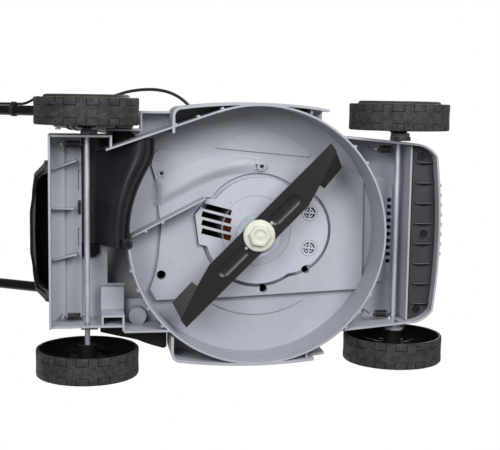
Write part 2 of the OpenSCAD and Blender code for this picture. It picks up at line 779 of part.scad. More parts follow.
module blade() {
    color(soot) rotate([0, 0, blade_turn]) translate([0, 0, blade_z]) difference() {
        for (a = [0, 180]) rotate([0, 0, a]) blade_half();
        translate([0, 0, -over]) cylinder(r = 5.05, h = blade_t + 2 * over, $fn = round);
        // long recess stamped each side of the hub
        for (a = [0, 180]) rotate([0, 0, a]) translate([0, 0, -over]) linear_extrude(over + 0.9)
            translate([32, -8]) rounded_rect(38, 16, 7.9);
        // ground cutting edge
        for (a = [0, 180]) rotate([0, 0, a]) translate([blade_len / 2 - 62, -blade_w / 2 - 4, -1.2])
            rotate([-32, 0, 0]) cube([70, 8, 3]);
    }
}

module blade_bolt() {
    color(cream) difference() {
        union() {
            translate([0, 0, blade_z - 5]) cylinder(r = bolt_flange_r, h = 5, $fn = fine);
            translate([0, 0, blade_z - 8]) cylinder(r = bolt_flange_r - 4, h = 4, $fn = fine);
            rotate([0, 0, 14]) translate([0, 0, blade_z - 18]) cylinder(r = bolt_hex_r, h = 12, $fn = 6);
        }
        translate([0, 0, blade_z - 19]) cylinder(r = 9, h = 4, $fn = round);
        translate([0, 0, blade_z - 4]) cylinder(r = 5, h = 6, $fn = round);
    }
}

// Axles, bushes and wheels

function right_face(x) = x == rear_x ? -rear_track + rear_shift : -front_track + front_shift;
function left_face(x) = x == rear_x ? rear_track + rear_shift : front_track + front_shift;

module axle(x) {
    stub = hub_end + clip_t + 1;
    color(steel) translate([x, right_face(x) - stub, axle_z]) rotate([-90, 0, 0])
        cylinder(r = axle_r, h = left_face(x) - right_face(x) + 2 * stub, $fn = round);
}

module rear_axle() { axle(rear_x); }

module front_axle() { axle(front_x); }

// Block that guides an axle end along the outside of the deck wall
module bush(x, y) {
    translate([x, y, axle_z]) difference() {
        translate([-9, 0, -13]) cube([24, 6, 26]);
        translate([0, -over, 0]) rotate([-90, 0, 0]) cylinder(r = axle_r, h = 8, $fn = round);
    }
}

// Spacer that keeps a wheel off its bush
module spacer(x, y0, y1) {
    translate([x, y0, axle_z]) rotate([-90, 0, 0]) difference() {
        cylinder(r = axle_r + 3, h = y1 - y0, $fn = round);
        translate([0, 0, -over]) cylinder(r = axle_r, h = y1 - y0 + 2 * over, $fn = round);
    }
}

module rear_axle_bushes() {
    color(grey) {
        bush(rear_x, -box_right - 6 - gap);
        bush(rear_x, box_left + gap);
        spacer(rear_x, right_face(rear_x) - hub_start + gap, -box_right - 6 - gap);
    }
}

module front_axle_bushes() {
    color(grey) {
        bush(front_x, -front_wall - 6 - gap);
        bush(front_x, front_wall + gap);
        spacer(front_x, right_face(front_x) - hub_start + gap, -front_wall - 6 - gap);
    }
}

// Ring that holds a wheel on its axle end
module axle_clip(x, y) {
    translate([x, y, axle_z]) rotate([-90, 0, 0]) difference() {
        cylinder(r = axle_r + 5, h = clip_t, $fn = small);
        translate([0, 0, -over]) cylinder(r = axle_r, h = clip_t + 2 * over, $fn = small);
    }
}

module axle_clips(x) {
    color(steel) {
        axle_clip(x, left_face(x) + hub_end + gap);
        axle_clip(x, right_face(x) - hub_end - gap - clip_t);
    }
}

module rear_axle_clips() { axle_clips(rear_x); }

module front_axle_clips() { axle_clips(front_x); }

// Wheel with its open side at y = 0 and its outer face at y = wheel_w
module wheel() {
    rim = 5;
    web = hub_end - 4;
    blocks = 15;
    groove = 1.4;
    rotate([-90, 0, 0]) difference() {
        union() {
            rotate_extrude($fn = fine) polygon([[axle_r + run_fit, hub_start], [13, hub_start], [13, web], [wheel_r - rim - 4, web],
                [wheel_r - rim, web - 5], [wheel_r - rim, 0], [wheel_r - 2, 0], [wheel_r, 2], [wheel_r, wheel_w - 3],
                [wheel_r - 3, wheel_w], [wheel_r - 8, wheel_w], [wheel_r - 12, hub_end], [13, hub_end],
                [axle_r + run_fit, hub_end]]);
            for (a = [0:45:315]) rotate([0, 0, a]) translate([12, -1.5, web - 12]) cube([wheel_r - rim - 11, 3, 12.5]);
        }
        // gaps between the blocks of the two edge rows
        for (i = [0:blocks - 1], z = [-over, wheel_w - 11]) rotate([0, 0, i * 360 / blocks])
            translate([wheel_r - groove, -7, z]) cube([4, 14, 11 + over]);
    }
}

module wheel_rear_left() { color(black) translate([rear_x, left_face(rear_x), axle_z]) wheel(); }

module wheel_rear_right() { color(black) translate([rear_x, right_face(rear_x), axle_z]) mirror([0, 1, 0]) wheel(); }

module wheel_front_left() { color(black) translate([front_x, left_face(front_x), axle_z]) wheel(); }

module wheel_front_right() { color(black) translate([front_x, right_face(front_x), axle_z]) mirror([0, 1, 0]) wheel(); }

// Domed cap pressed over the outer face of a wheel
module hub_cap() {
    seat = hub_end + gap;
    rotate([-90, 0, 0]) rotate_extrude($fn = fine) polygon([[0, wheel_w + 2], [20, wheel_w + 4.5],
        [44, wheel_w + 4], [60, wheel_w + 1], [62, wheel_w - 1], [62, seat], [59, seat], [59, wheel_w - 2],
        [43, wheel_w + 1], [20, wheel_w + 1.5], [0, wheel_w - 1]]);
}

module hub_cap_rear_left() { color(soot) translate([rear_x, left_face(rear_x), axle_z]) hub_cap(); }

module hub_cap_rear_right() {
    color(soot) translate([rear_x, right_face(rear_x), axle_z]) mirror([0, 1, 0]) hub_cap();
}

module hub_cap_front_left() { color(soot) translate([front_x, left_face(front_x), axle_z]) hub_cap(); }

module hub_cap_front_right() {
    color(soot) translate([front_x, right_face(front_x), axle_z]) mirror([0, 1, 0]) hub_cap();
}

// Springs that pull the axles back into their notches

curl_rings = 8;
hook_rings = 10;
spring_count = spring_curls * curl_rings + 1 + 2 * hook_rings;

// Centre line of a spring along x: coil first, an inward and an outward hook at its ends
function spring_point(i) =
    i < hook_rings ? let (t = i / hook_rings) [spring_hook * (t - 1), spring_r * t * t, 0] :
    i > hook_rings + spring_curls * curl_rings ?
        let (t = (i - hook_rings - spring_curls * curl_rings) / hook_rings)
            [spring_body + spring_hook * t, spring_r * (1 - t) * (1 - t), 0] :
    let (k = i - hook_rings, a = 360 * k / curl_rings)
        [spring_pitch * k / curl_rings, spring_r * cos(a), spring_r * sin(a)];

spring_path = [for (i = [0:spring_count - 1]) spring_point(i)];

function unit(v) = v / norm(v);
function path_dir(p, i) = unit(p[min(i + 1, len(p) - 1)] - p[max(i - 1, 0)]);

// Rings of points round a path, turned from one ring to the next with the least twist
function sweep_side(p, i, side) = let (d = path_dir(p, i)) unit(side - d * (side * d));
function sweep_sides(p, i, side) = i >= len(p) ? [] :
    let (s = sweep_side(p, i, side)) concat([s], sweep_sides(p, i + 1, s));

module sweep_tube(p, r, sides, first) {
    n = len(p);
    sd = sweep_sides(p, 0, first);
    pts = [for (i = [0:n - 1]) let (d = path_dir(p, i), s = sd[i], t = cross(d, s))
        for (k = [0:sides - 1]) p[i] + r * (cos(360 * k / sides) * s + sin(360 * k / sides) * t)];
    faces = concat([[for (k = [0:sides - 1]) k]],
        [for (i = [0:n - 2], k = [0:sides - 1]) let (k2 = (k + 1) % sides)
            [i * sides + k, (i + 1) * sides + k, i * sides + k2]],
        [for (i = [0:n - 2], k = [0:sides - 1]) let (k2 = (k + 1) % sides)
            [(i + 1) * sides + k, (i + 1) * sides + k2, i * sides + k2]],
        [[for (k = [0:sides - 1]) (n - 1) * sides + sides - 1 - k]]);
    polyhedron(points = pts, faces = faces);
}

// Least distance between two stretches of the coil that are a curl apart, less the wire
spring_clear = min([for (i = [hook_rings:hook_rings + (spring_curls - 1) * curl_rings - 1])
    norm(spring_path[i + curl_rings] - spring_path[i])]) - spring_wire;
echo(least_spring_gap = spring_clear);

module axle_spring(x, y) {
    color(steel) translate([x - spring_gap - spring_body, y, spring_z])
        sweep_tube(spring_path, spring_wire / 2, 6, [0, 0, 1]);
}

module spring_rear_left() { axle_spring(rear_x, rear_spring_y); }

module spring_rear_right() { axle_spring(rear_x, -rear_spring_y - 8); }

module spring_front_left() { axle_spring(front_x, front_spring_y); }

module spring_front_right() { axle_spring(front_x, -front_spring_y); }

// Rear flap

function flap_outline(i) = [[0, -flap_y + i], [-4 - i / 2, -flap_y + 5 + i], [-6 - i / 2, -flap_y + 14 + i],
    [-flap_depth + 8 + i, -flap_y + 24 + i], [-flap_depth + i, -30], [-flap_depth + i, 30],
    [-flap_depth + 8 + i, flap_y - 24 - i], [-6 - i / 2, flap_y - 14 - i], [-4 - i / 2, flap_y - 5 - i],
    [0, flap_y - i]];

module rear_flap() {
    color(black) {
        difference() {
            translate([flap_x, 0, flap_low]) linear_extrude(flap_top - flap_low) polygon(flap_outline(0));
            translate([flap_x + over, 0, flap_low - over]) linear_extrude(flap_top - flap_low - flap_t)
                polygon(flap_outline(flap_t));
        }
        // knuckles round the hinge pin
        for (y = [-flap_y + 14, -20, flap_y - 34]) difference() {
            union() {
                translate([flap_pin_x, y, flap_pin_z]) rotate([-90, 0, 0]) cylinder(r = pin_r + 2.5, h = 20, $fn = small);
                translate([flap_pin_x - 4, y, flap_top - 1]) cube([5, 20, flap_pin_z - flap_top + 1]);
            }
            translate([flap_pin_x, y - over, flap_pin_z]) rotate([-90, 0, 0])
                cylinder(r = pin_r + run_fit, h = 22, $fn = small);
        }
    }
}

module flap_pin() {
    color(steel) translate([flap_pin_x, -flap_y + 10 + gap, flap_pin_z]) rotate([-90, 0, 0])
        cylinder(r = pin_r, h = 2 * flap_y - 20 - 2 * gap, $fn = small);
}

// Battery lid, pack and key

module lid_form(i) {
    hull() for (x = [-1, 1], y = [-1, 1]) translate([bay_x + x * (lid_len / 2 - 14), y * (lid_w / 2 - 14), cover_top])
        translate([0, 0, gap]) {
            cylinder(r = 14 - i, h = 4, $fn = 32);
            cylinder(r = 8 - i, h = 12 - i, $fn = 32);
        }
}

module battery_lid() {
    color(grey) {
        difference() {
            lid_form(0);
            translate([0, 0, -0.01]) lid_form(lid_t);
            for (y = [-18, 6]) translate([lid_pin_x - 8, y, cover_top - 1]) cube([12, 12.6, 12]);
        }
        for (y = [-30, 18.6]) translate([lid_pin_x, y, lid_pin_z + 3]) difference() {
            union() {
                rotate([-90, 0, 0]) cylinder(r = pin_r + 2, h = 12, $fn = small);
                translate([0, 0, -2]) cube([8, 12, 4]);
            }
            translate([0, -over, 0]) rotate([-90, 0, 0]) cylinder(r = pin_r + run_fit, h = 14, $fn = small);
        }
    }
}

module lid_pin() {
    color(steel) translate([lid_pin_x, -33, lid_pin_z + 3]) rotate([-90, 0, 0])
        cylinder(r = pin_r, h = 66, $fn = small);
    color(black) for (y = [-17.5, 6.5]) translate([lid_pin_x - 4, y, cover_top])
        cube([8, 11, lid_pin_z + 3 - cover_top - pin_r]);
}

module battery_pack() {
    color(soot) {
        translate([pack_x - pack_l / 2, -pack_w / 2, pack_z]) linear_extrude(pack_h) rounded_rect(pack_l, pack_w, 8);
        difference() {
            translate([pack_x - 24, -pack_w / 2 + 8, pack_z + pack_h]) cube([48, pack_w - 16, 5]);
            translate([pack_x - 16, -pack_w / 2 + 20, pack_z + pack_h + 2]) cube([32, pack_w - 40, 5]);
        }
    }
}

module safety_key() {
    color([0.75, 0.15, 0.1]) {
        translate([key_x - 5, -30, bay_floor + gap]) cube([10, 22, 30]);
        translate([key_x - 3, -34, bay_floor + 30]) cube([6, 30, 18]);
    }
}

// Folding handle

// Outline of the black cover on the left shoulder, drawn in by i
module side_plan(i) {
    polygon([[shoulder_x - 58 + i, box_left + slit], [shoulder_x - 58 + i, box_left + 15 - i],
        [shoulder_x - 34, box_left + 21 - i], [shoulder_x - 13, box_left + 25.5 - i],
        [shoulder_x - 2, box_left + 28.5 - i], [shoulder_x + 6, box_left + 32 - i],
        [shoulder_x + 17, box_left + 36 - i], [shoulder_x + 32, box_left + 40.5 - i],
        [shoulder_x + 36 - i, box_left + 41.5 - i], [shoulder_x + 40 - i, box_left + 39 - i],
        [shoulder_x + 40 - i, box_left + 7 + slit], [notch_x + 30 - slit, box_left + 7 + slit],
        [notch_x + 30 - slit, box_left + slit]]);
}

module side_cover() {
    difference() {
        translate([0, 0, shoulder_low]) linear_extrude(deck_top + 1 - shoulder_low) side_plan(0);
        // hollow, open towards the deck
        translate([0, 0, shoulder_low + 3]) linear_extrude(ceiling - shoulder_low - 3) {
            side_plan(3);
            translate([shoulder_x - 55, box_left - 1]) square([notch_x + 87 - shoulder_x, 10]);
            translate([notch_x + 20, box_left + 6]) square([shoulder_x + 17 - notch_x, 6]);
        }
    }
}

module handle_bracket(s) {
    y0 = lower_y - tube_r - gap - bracket_t;
    y_in = tunnel_right + deck_t + slit;
    color(black) mirror([0, s < 0 ? 1 : 0, 0]) difference() {
        union() {
            translate([pivot_x - 16, y0, deck_top]) cube([32, bracket_t, pivot_z - deck_top]);
            translate([pivot_x, y0, pivot_z]) rotate([-90, 0, 0]) cylinder(r = 16, h = bracket_t, $fn = round);
            translate([pivot_x - 16, y_in, deck_top]) cube([32, pad_y - y_in, 4]);
            translate([pivot_x - 3, y0, deck_top]) cube([6, pad_y - y0 - 3, 34]);
        }
        translate([pivot_x, y0 - over, pivot_z]) rotate([-90, 0, 0]) cylinder(r = bolt_r + run_fit, h = 12, $fn = small);
    }
}

module handle_bracket_left() {
    handle_bracket(1);
    color(black) side_cover();
}

module handle_bracket_right() { handle_bracket(-1); }

module cross_bolt(y0, y1, head) {
    rotate([-90, 0, 0]) {
        translate([0, 0, y0]) cylinder(r = bolt_r, h = y1 - y0, $fn = small);
        translate([0, 0, y0 - 4]) cylinder(r = head, h = 4, $fn = 6);
    }
}

module pivot_bolts() {
    y0 = lower_y - tube_r - gap - bracket_t;
    y1 = lower_y + tube_r + gap;
    color(steel) for (s = [0, 1]) mirror([0, s, 0]) translate([pivot_x, 0, pivot_z]) {
        cross_bolt(y0, y1, 6);
        rotate([-90, 0, 0]) translate([0, 0, y1]) cylinder(r = 7.5, h = 4, $fn = small);
    }
}

// Runs down the lower tubes, from their pivot
module lower_frame() {
    translate([pivot_x, 0, pivot_z]) rotate([0, lower_lean, 0]) children();
}

// Runs up the upper handle, from its bolts
module upper_frame() {
    translate([fold_x, 0, fold_z]) rotate([0, upper_lean, 0]) children();
}

module tube(l) {
    difference() {
        cylinder(r = tube_r, h = l, $fn = round);
        translate([0, 0, -over]) cylinder(r = tube_r - tube_wall, h = l + 2 * over, $fn = round);
    }
}

module lower_tube(s) {
    color(black) lower_frame() translate([0, s * lower_y, 0]) difference() {
        translate([tube_end, 0, 0]) rotate([0, -90, 0]) difference() {
            cylinder(r = tube_r, h = lower_len + 2 * tube_end, $fn = round);
            translate([0, 0, 30]) cylinder(r = tube_r - tube_wall, h = lower_len + 2 * tube_end - 60, $fn = round);
        }
        for (x = [0, -lower_len]) translate([x, -tube_r - over, 0]) rotate([-90, 0, 0])
            cylinder(r = bolt_r + run_fit, h = tube_d + 2 * over, $fn = small);
    }
}

module lower_tube_left() { lower_tube(1); }

module lower_tube_right() { lower_tube(-1); }

module clamp_bolts() {
    color(steel) upper_frame() for (s = [0, 1]) mirror([0, s, 0])
        cross_bolt(lower_y - tube_r - gap, upper_y + tube_r + 14, 6);
}

// Winged knob that clamps the fold
module clamp_knob(s) {
    color(black) upper_frame() mirror([0, s < 0 ? 1 : 0, 0]) translate([0, upper_y + tube_r + gap, 0])
        rotate([-90, 0, 0]) difference() {
            union() {
                cylinder(r = 10, h = 10, $fn = round);
                for (a = [0, 180]) rotate([0, 0, a]) translate([6, -3, 4]) cube([knob_r - 2, 6, 12]);
            }
            translate([0, 0, -over]) cylinder(r = bolt_r + run_fit, h = 20, $fn = small);
        }
}

module clamp_knob_left() { clamp_knob(1); }

module clamp_knob_right() { clamp_knob(-1); }

// Quarter bend of the upper handle, turning from -x to the centre plane
module handle_bend() {
    translate([0, -bend_r, 0]) rotate([0, 0, 90]) rotate_extrude(angle = 90, $fn = round) translate([bend_r, 0])
        difference() {
            circle(r = tube_r, $fn = small);
            circle(r = tube_r - tube_wall, $fn = small);
        }
}

module upper_handle() {
    color(black) upper_frame() {
        for (s = [0, 1]) mirror([0, s, 0]) translate([0, upper_y, 0]) {
            difference() {
                translate([tube_end, 0, 0]) rotate([0, -90, 0]) difference() {
                    cylinder(r = tube_r, h = upper_len - bend_r + tube_end, $fn = round);
                    translate([0, 0, 30]) cylinder(r = tube_r - tube_wall, h = upper_len, $fn = round);
                }
                translate([0, -tube_r - over, 0]) rotate([-90, 0, 0])
                    cylinder(r = bolt_r + run_fit, h = tube_d + 2 * over, $fn = small);
            }
            translate([bar_x + bend_r, 0, 0]) handle_bend();
        }
        translate([bar_x, -upper_y + bend_r, 0]) rotate([-90, 0, 0]) tube(2 * (upper_y - bend_r));
        // lug that carries the bail's left end
        difference() {
            translate([lever_x - 8, upper_y - 8, -lever_drop - 6]) cube([16, 14, lever_drop - 2]);
            translate([lever_x, upper_y - 9, -lever_drop]) rotate([-90, 0, 0])
                cylinder(r = lever_r + run_fit, h = 12, $fn = small);
        }
    }
}

module grip() {
    w = 2 * (upper_y - bend_r) - 20;
    color(soot) upper_frame() translate([bar_x, -w / 2, 0]) rotate([-90, 0, 0]) difference() {
        union() {
            cylinder(r = tube_r + 3.5, h = w, $fn = round);
            for (z = [0:12:w - 6]) translate([0, 0, z]) cylinder(r = tube_r + 4.2, h = 6, $fn = round);
        }
        translate([0, 0, -over]) cylinder(r = tube_r + clip_fit, h = w + 2 * over, $fn = round);
    }
}

// Switch housing on the right side tube
module switch_box() {
    w = 46;
    color(soot) upper_frame() translate([box_x - box_len / 2, -upper_y, 0]) difference() {
        union() {
            translate([0, -17, -24]) rotate([90, 0, 0]) mirror([0, 0, 1]) linear_extrude(w)
                rounded_rect(box_len, 52, 14);
            translate([box_len / 2, w - 18, 0]) cylinder(r = 14, h = 26, $fn = round);
        }
        translate([-over, 0, 0]) rotate([0, 90, 0])
            cylinder(r = tube_r + clip_fit, h = box_len + 2 * over, $fn = round);
        // well of the lock button
        translate([box_len / 2, w - 18, 13]) cylinder(r = 9 + gap, h = 20, $fn = round);
        // bearing of the bail
        translate([lever_x - box_x + box_len / 2, w - 30, -lever_drop]) rotate([-90, 0, 0])
            cylinder(r = lever_r + run_fit, h = 20, $fn = small);
    }
}

// Quarter turn of a rod in the plane of y and z, from angle a0
module rod_bend(a0) {
    rotate([90, 0, 90]) rotate([0, 0, a0]) rotate_extrude(angle = 90, $fn = small)
        translate([lever_bend, 0]) circle(r = lever_r, $fn = small);
}

module rod(l) { cylinder(r = lever_r, h = l, $fn = small); }

// Bail that is pulled up to the cross bar to run the motor
module bail_lever() {
    right_end = -upper_y + 18;
    right_arm = -upper_y + 52;
    left_arm = upper_y - 22;
    color(steel) upper_frame() translate([lever_x, 0, -lever_drop]) rotate([0, -lever_open, 0]) {
        translate([0, right_end, 0]) rotate([-90, 0, 0]) rod(right_arm - lever_bend - right_end);
        translate([0, right_arm - lever_bend, lever_bend]) rod_bend(-90);
        translate([0, right_arm, lever_bend]) rod(lever_reach - 2 * lever_bend);
        translate([0, right_arm + lever_bend, lever_reach - lever_bend]) rod_bend(90);
        translate([0, right_arm + lever_bend, lever_reach]) rotate([-90, 0, 0])
            rod(left_arm - right_arm - 2 * lever_bend);
        translate([0, left_arm - lever_bend, lever_reach - lever_bend]) rod_bend(0);
        translate([0, left_arm, lever_bend]) rod(lever_reach - 2 * lever_bend);
        translate([0, left_arm + lever_bend, lever_bend]) rod_bend(180);
        translate([0, left_arm + lever_bend, 0]) rotate([-90, 0, 0]) rod(upper_y - left_arm - lever_bend + 1);
    }
}

module lock_button() {
    color([0.75, 0.3, 0.1]) upper_frame() translate([box_x, -upper_y + 28, 0]) {
        translate([0, 0, 19]) cylinder(r = 9, h = 12, $fn = round);
    }
}

// Cable

// Centre line where the cable lies against the right tubes
cable_side = tube_r + cable_d / 2 + gap;
cable_start = 84;
lower_run_low = 236;
lower_run_high = 306;

// Clip that holds the cable against a tube running up along -x
module cable_clip(x) {
    translate([x, 0, 0]) rotate([0, -90, 0]) difference() {
        union() {
            cylinder(r = tube_r + 2, h = 9, $fn = round);
            translate([0, -cable_side, 0]) cylinder(r = cable_d / 2 + 1.8, h = 9, $fn = small);
        }
        translate([0, 0, -over]) cylinder(r = tube_r + clip_fit, h = 12, $fn = round);
    }
}

module handle_cable() {
    run = -cable_start - box_x - box_len / 2;
    color(soot) upper_frame() translate([0, -upper_y, 0]) {
        translate([-cable_start, -cable_side, 0]) rotate([0, -90, 0])
            cylinder(r = cable_d / 2, h = run - gap, $fn = small);
        for (x = [-cable_start - 12, -330, -560]) cable_clip(x);
    }
}

module lower_cable() {
    color(soot) lower_frame() translate([0, -lower_y, 0]) {
        translate([-lower_run_low, -cable_side, 0]) rotate([0, -90, 0])
            cylinder(r = cable_d / 2, h = lower_run_high - lower_run_low, $fn = small);
        for (x = [lower_run_low + 8, lower_run_high - 17]) cable_clip(-x);
    }
}

// Smooth curve through the route's points
function spline(p, i, t) = let (a = p[max(i - 1, 0)], b = p[i], c = p[i + 1], d = p[min(i + 2, len(p) - 1)])
    0.5 * (2 * b + (c - a) * t + (2 * a - 5 * b + 4 * c - d) * t * t + (3 * b - a - 3 * c + d) * t * t * t);
function smooth(p, n) = concat([for (i = [0:len(p) - 2], k = [0:n - 1]) spline(p, i, k / n)], [p[len(p) - 1]]);

module deck_cable() {
    color(soot) sweep_tube(smooth(deck_route, 2), cable_d / 2, 8, [0, 0, 1]);
}

module fold_cable() {
    color(soot) sweep_tube(smooth(fold_route, 2), cable_d / 2, 8, [0, 0, 1]);
}

// Free stretch between the lower tube and the motor cover
deck_route = [[-259, -162, 403], [-255, -163, 387], [-249, -168, 369], [-241, -176, 348], [-230, -185, 323],
    [-216, -193, 297], [-199, -201, 270], [-180, -207, 244], [-160, -210, 220], [-139, -210, 199],
    [-118, -205, 181], [-100, -194, 168], [-86, -178, 159], [-78, -160, 155.5], [-74.4, -142, 155], [-74, -124.2, 155]];

// Free stretch between the two handles, past the fold
fold_route = [[-370, -182, 603], [-361, -184, 597], [-352, -188, 588], [-345, -192, 576], [-339, -195, 562],
    [-333, -195, 546], [-325, -192, 529], [-314, -186, 515], [-302, -178, 504], [-290, -170, 494],
    [-281, -163, 484], [-277, -162, 472]];

deck();
motor_mount();
discharge_chute();
front_insert();
front_insert_screws();
mount_screws();
vent_plugs();
motor_cover();
battery_rails();
battery_terminals();
control_board();
motor_can();
motor_windings();
spindle_bearing();
rotor_shaft();
rotor_core();
blade_carrier();
blade();
blade_bolt();
rear_axle();
front_axle();
rear_axle_bushes();
front_axle_bushes();
rear_axle_clips();
front_axle_clips();
wheel_rear_left();
wheel_rear_right();
wheel_front_left();
wheel_front_right();
hub_cap_rear_left();
hub_cap_rear_right();
hub_cap_front_left();
hub_cap_front_right();
spring_rear_left();
spring_rear_right();
spring_front_left();
spring_front_right();
rear_flap();
flap_pin();
battery_lid();
lid_pin();
battery_pack();
safety_key();
handle_bracket_left();
handle_bracket_right();
pivot_bolts();
lower_tube_left();
lower_tube_right();
clamp_bolts();
clamp_knob_left();
clamp_knob_right();
upper_handle();
grip();
switch_box();
bail_lever();
lock_button();
handle_cable();
lower_cable();
deck_cable();
fold_cable();
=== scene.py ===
import math
import bpy
import bmesh
from mathutils import Matrix, Vector
from mathutils.bvhtree import BVHTree


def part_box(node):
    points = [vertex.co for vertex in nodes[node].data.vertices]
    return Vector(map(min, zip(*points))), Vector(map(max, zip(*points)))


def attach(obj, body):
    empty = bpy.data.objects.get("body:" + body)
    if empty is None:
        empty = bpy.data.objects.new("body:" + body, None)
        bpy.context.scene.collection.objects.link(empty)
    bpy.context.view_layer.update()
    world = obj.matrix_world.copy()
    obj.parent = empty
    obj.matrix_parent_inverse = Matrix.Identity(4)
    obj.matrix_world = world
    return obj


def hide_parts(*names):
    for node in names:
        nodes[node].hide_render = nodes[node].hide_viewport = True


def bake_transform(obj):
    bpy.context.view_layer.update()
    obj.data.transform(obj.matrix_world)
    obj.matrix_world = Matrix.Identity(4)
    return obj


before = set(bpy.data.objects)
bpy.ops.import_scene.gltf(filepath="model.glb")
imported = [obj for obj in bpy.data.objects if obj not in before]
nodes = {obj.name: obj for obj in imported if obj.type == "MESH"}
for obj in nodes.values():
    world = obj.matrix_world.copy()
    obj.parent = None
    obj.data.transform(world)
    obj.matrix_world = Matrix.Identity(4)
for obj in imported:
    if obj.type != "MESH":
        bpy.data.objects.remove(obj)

print("mower: frame loaded")
scene = bpy.context.scene
scene.view_settings.view_transform = "Standard"
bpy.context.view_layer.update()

# camera, as fitted to the photograph's wheels, axles and blade chamber
photoCamera = {
    "place": (-0.253, -0.197, -1.4332),
    "turn": (7.0, -9.14, -0.25),      # about x, y and z in degrees
    "focal": 1034.4,                  # in pixels of a 500 pixel wide picture
    "width": 500,
    "sensor": 36,
    "clip": (0.05, 60),
}
corners = ("rear_left", "rear_right", "front_left", "front_right")


def turnMatrix(axis, degrees):
    return Matrix.Rotation(math.radians(degrees), 3, axis)


def makeCamera(facts):
    aboutX, aboutY, aboutZ = facts["turn"]
    right, down, forward = turnMatrix("Z", aboutZ) @ turnMatrix("Y", aboutY) @ turnMatrix("X", aboutX)
    data = bpy.data.cameras.new("photoCamera")
    data.sensor_width = facts["sensor"]
    data.lens = facts["focal"] / facts["width"] * facts["sensor"]
    data.clip_start, data.clip_end = facts["clip"]
    camera = bpy.data.objects.new("photoCamera", data)
    scene.collection.objects.link(camera)
    grid = Matrix((right, -down, -forward)).transposed().to_4x4()
    grid.translation = facts["place"]
    camera.matrix_world = grid
    scene.camera = camera


makeCamera(photoCamera)
print("mower: camera set")


# finishes, from a few short shader helpers
def startFinish(name):
    made = bpy.data.materials.new(name)
    made.use_nodes = True
    tree = made.node_tree
    tree.nodes.clear()
    shader = addNode(tree, "ShaderNodeBsdfPrincipled")
    addNode(tree, "ShaderNodeOutputMaterial", {"Surface": shader.outputs["BSDF"]})
    return made, tree, shader


# a socket takes a value or another node's output
def fillSocket(tree, socket, value):
    if isinstance(value, bpy.types.NodeSocket):
        tree.links.new(value, socket)
    else:
        socket.default_value = value


def addNode(tree, kind, values=None, **settings):
    node = tree.nodes.new(kind)
    for key, value in settings.items():
        setattr(node, key, value)
    for key, value in (values or {}).items():
        fillSocket(tree, node.inputs[key], value)
    return node


def placeOf(tree, stretch=(1, 1, 1)):
    place = addNode(tree, "ShaderNodeTexCoord").outputs["Object"]
    return addNode(tree, "ShaderNodeMapping", {"Vector": place, "Scale": stretch}).outputs["Vector"]


def noise(tree, place, size, detail=2.0, rough=0.5):
    values = {"Vector": place, "Scale": 1 / size, "Detail": detail, "Roughness": rough}
    return addNode(tree, "ShaderNodeTexNoise", values).outputs["Fac"]


def spread(tree, value, low, high, fromLow=0.35, fromHigh=0.65):
    values = {"Value": value, "From Min": fromLow, "From Max": fromHigh, "To Min": low, "To Max": high}
    return addNode(tree, "ShaderNodeMapRange", values).outputs["Result"]


def mixColours(tree, factor, first, second):
    node = addNode(tree, "ShaderNodeMix", {"Factor": factor}, data_type="RGBA")
    sockets = [s for s in node.inputs if s.type == "RGBA"]
    for socket, colour in zip(sockets, (first, second)):
        fillSocket(tree, socket, colour)
    return [s for s in node.outputs if s.type == "RGBA"][0]


# what every finish ends with: its colour, rubbed gloss, and a bump over softened edges
def endFinish(tree, shader, facts, tint, rub, height):
    values = {"Distance": facts["depth"], "Strength": facts["bump"], "Height": height}
    if facts["edge"]:
        rounded = addNode(tree, "ShaderNodeBevel", {"Radius": facts["edge"]}, samples=4)
        values["Normal"] = rounded.outputs["Normal"]
    values = {"Normal": addNode(tree, "ShaderNodeBump", values).outputs["Normal"], "Base Color": tint,
              "Roughness": spread(tree, rub, *facts["roughness"]), "Specular IOR Level": facts["specular"]}
    for key, value in values.items():
        fillSocket(tree, shader.inputs[key], value)


# detail and roughness of each finish's noises
grains = {"cloud": (4, 0.6), "dust": (7, 0.75), "rub": (5, 0.7), "streak": (3, 0.6), "dustFrom": (0.45, 0.62),
          "rubShare": 0.4, "metalCloud": 0.02}


# moulded plastic: cloudy colour, fine grain, rubbed gloss and, where it is given, dust
def mouldedFinish(name, facts):
    made, tree, shader = startFinish(name)
    place = placeOf(tree)
    cloud = noise(tree, place, facts["cloud"], *grains["cloud"])
    tint = mixColours(tree, spread(tree, cloud, 0, 1), *(srgb(*tone) for tone in facts["colours"]))
    if "dust" in facts:
        size, share, colour = facts["dust"]
        dust = spread(tree, noise(tree, place, size, *grains["dust"]), 0, share, *grains["dustFrom"])
        tint = mixColours(tree, dust, tint, colour)
    rub = noise(tree, place, facts["cloud"] * grains["rubShare"], *grains["rub"])
    endFinish(tree, shader, facts, tint, rub, noise(tree, place, facts["grain"], 1))
    return made


# metal: streaks along one way over a soft cloud
def metalFinish(name, facts):
    made, tree, shader = startFinish(name)
    streak = noise(tree, placeOf(tree, facts["stretch"]), facts["streak"], *grains["streak"])
    cloud = noise(tree, placeOf(tree), grains["metalCloud"], 3)
    tint = mixColours(tree, spread(tree, cloud, 0, 1), *(srgb(*tone) for tone in facts["colours"]))
    endFinish(tree, shader, facts, tint, streak, streak)
    shader.inputs["Metallic"].default_value = facts["metallic"]
    return made


def srgb(r, g, b):
    return (*(((c / 255 + 0.055) / 1.055) ** 2.4 if c > 10 else c / 255 / 12.92 for c in (r, g, b)), 1)


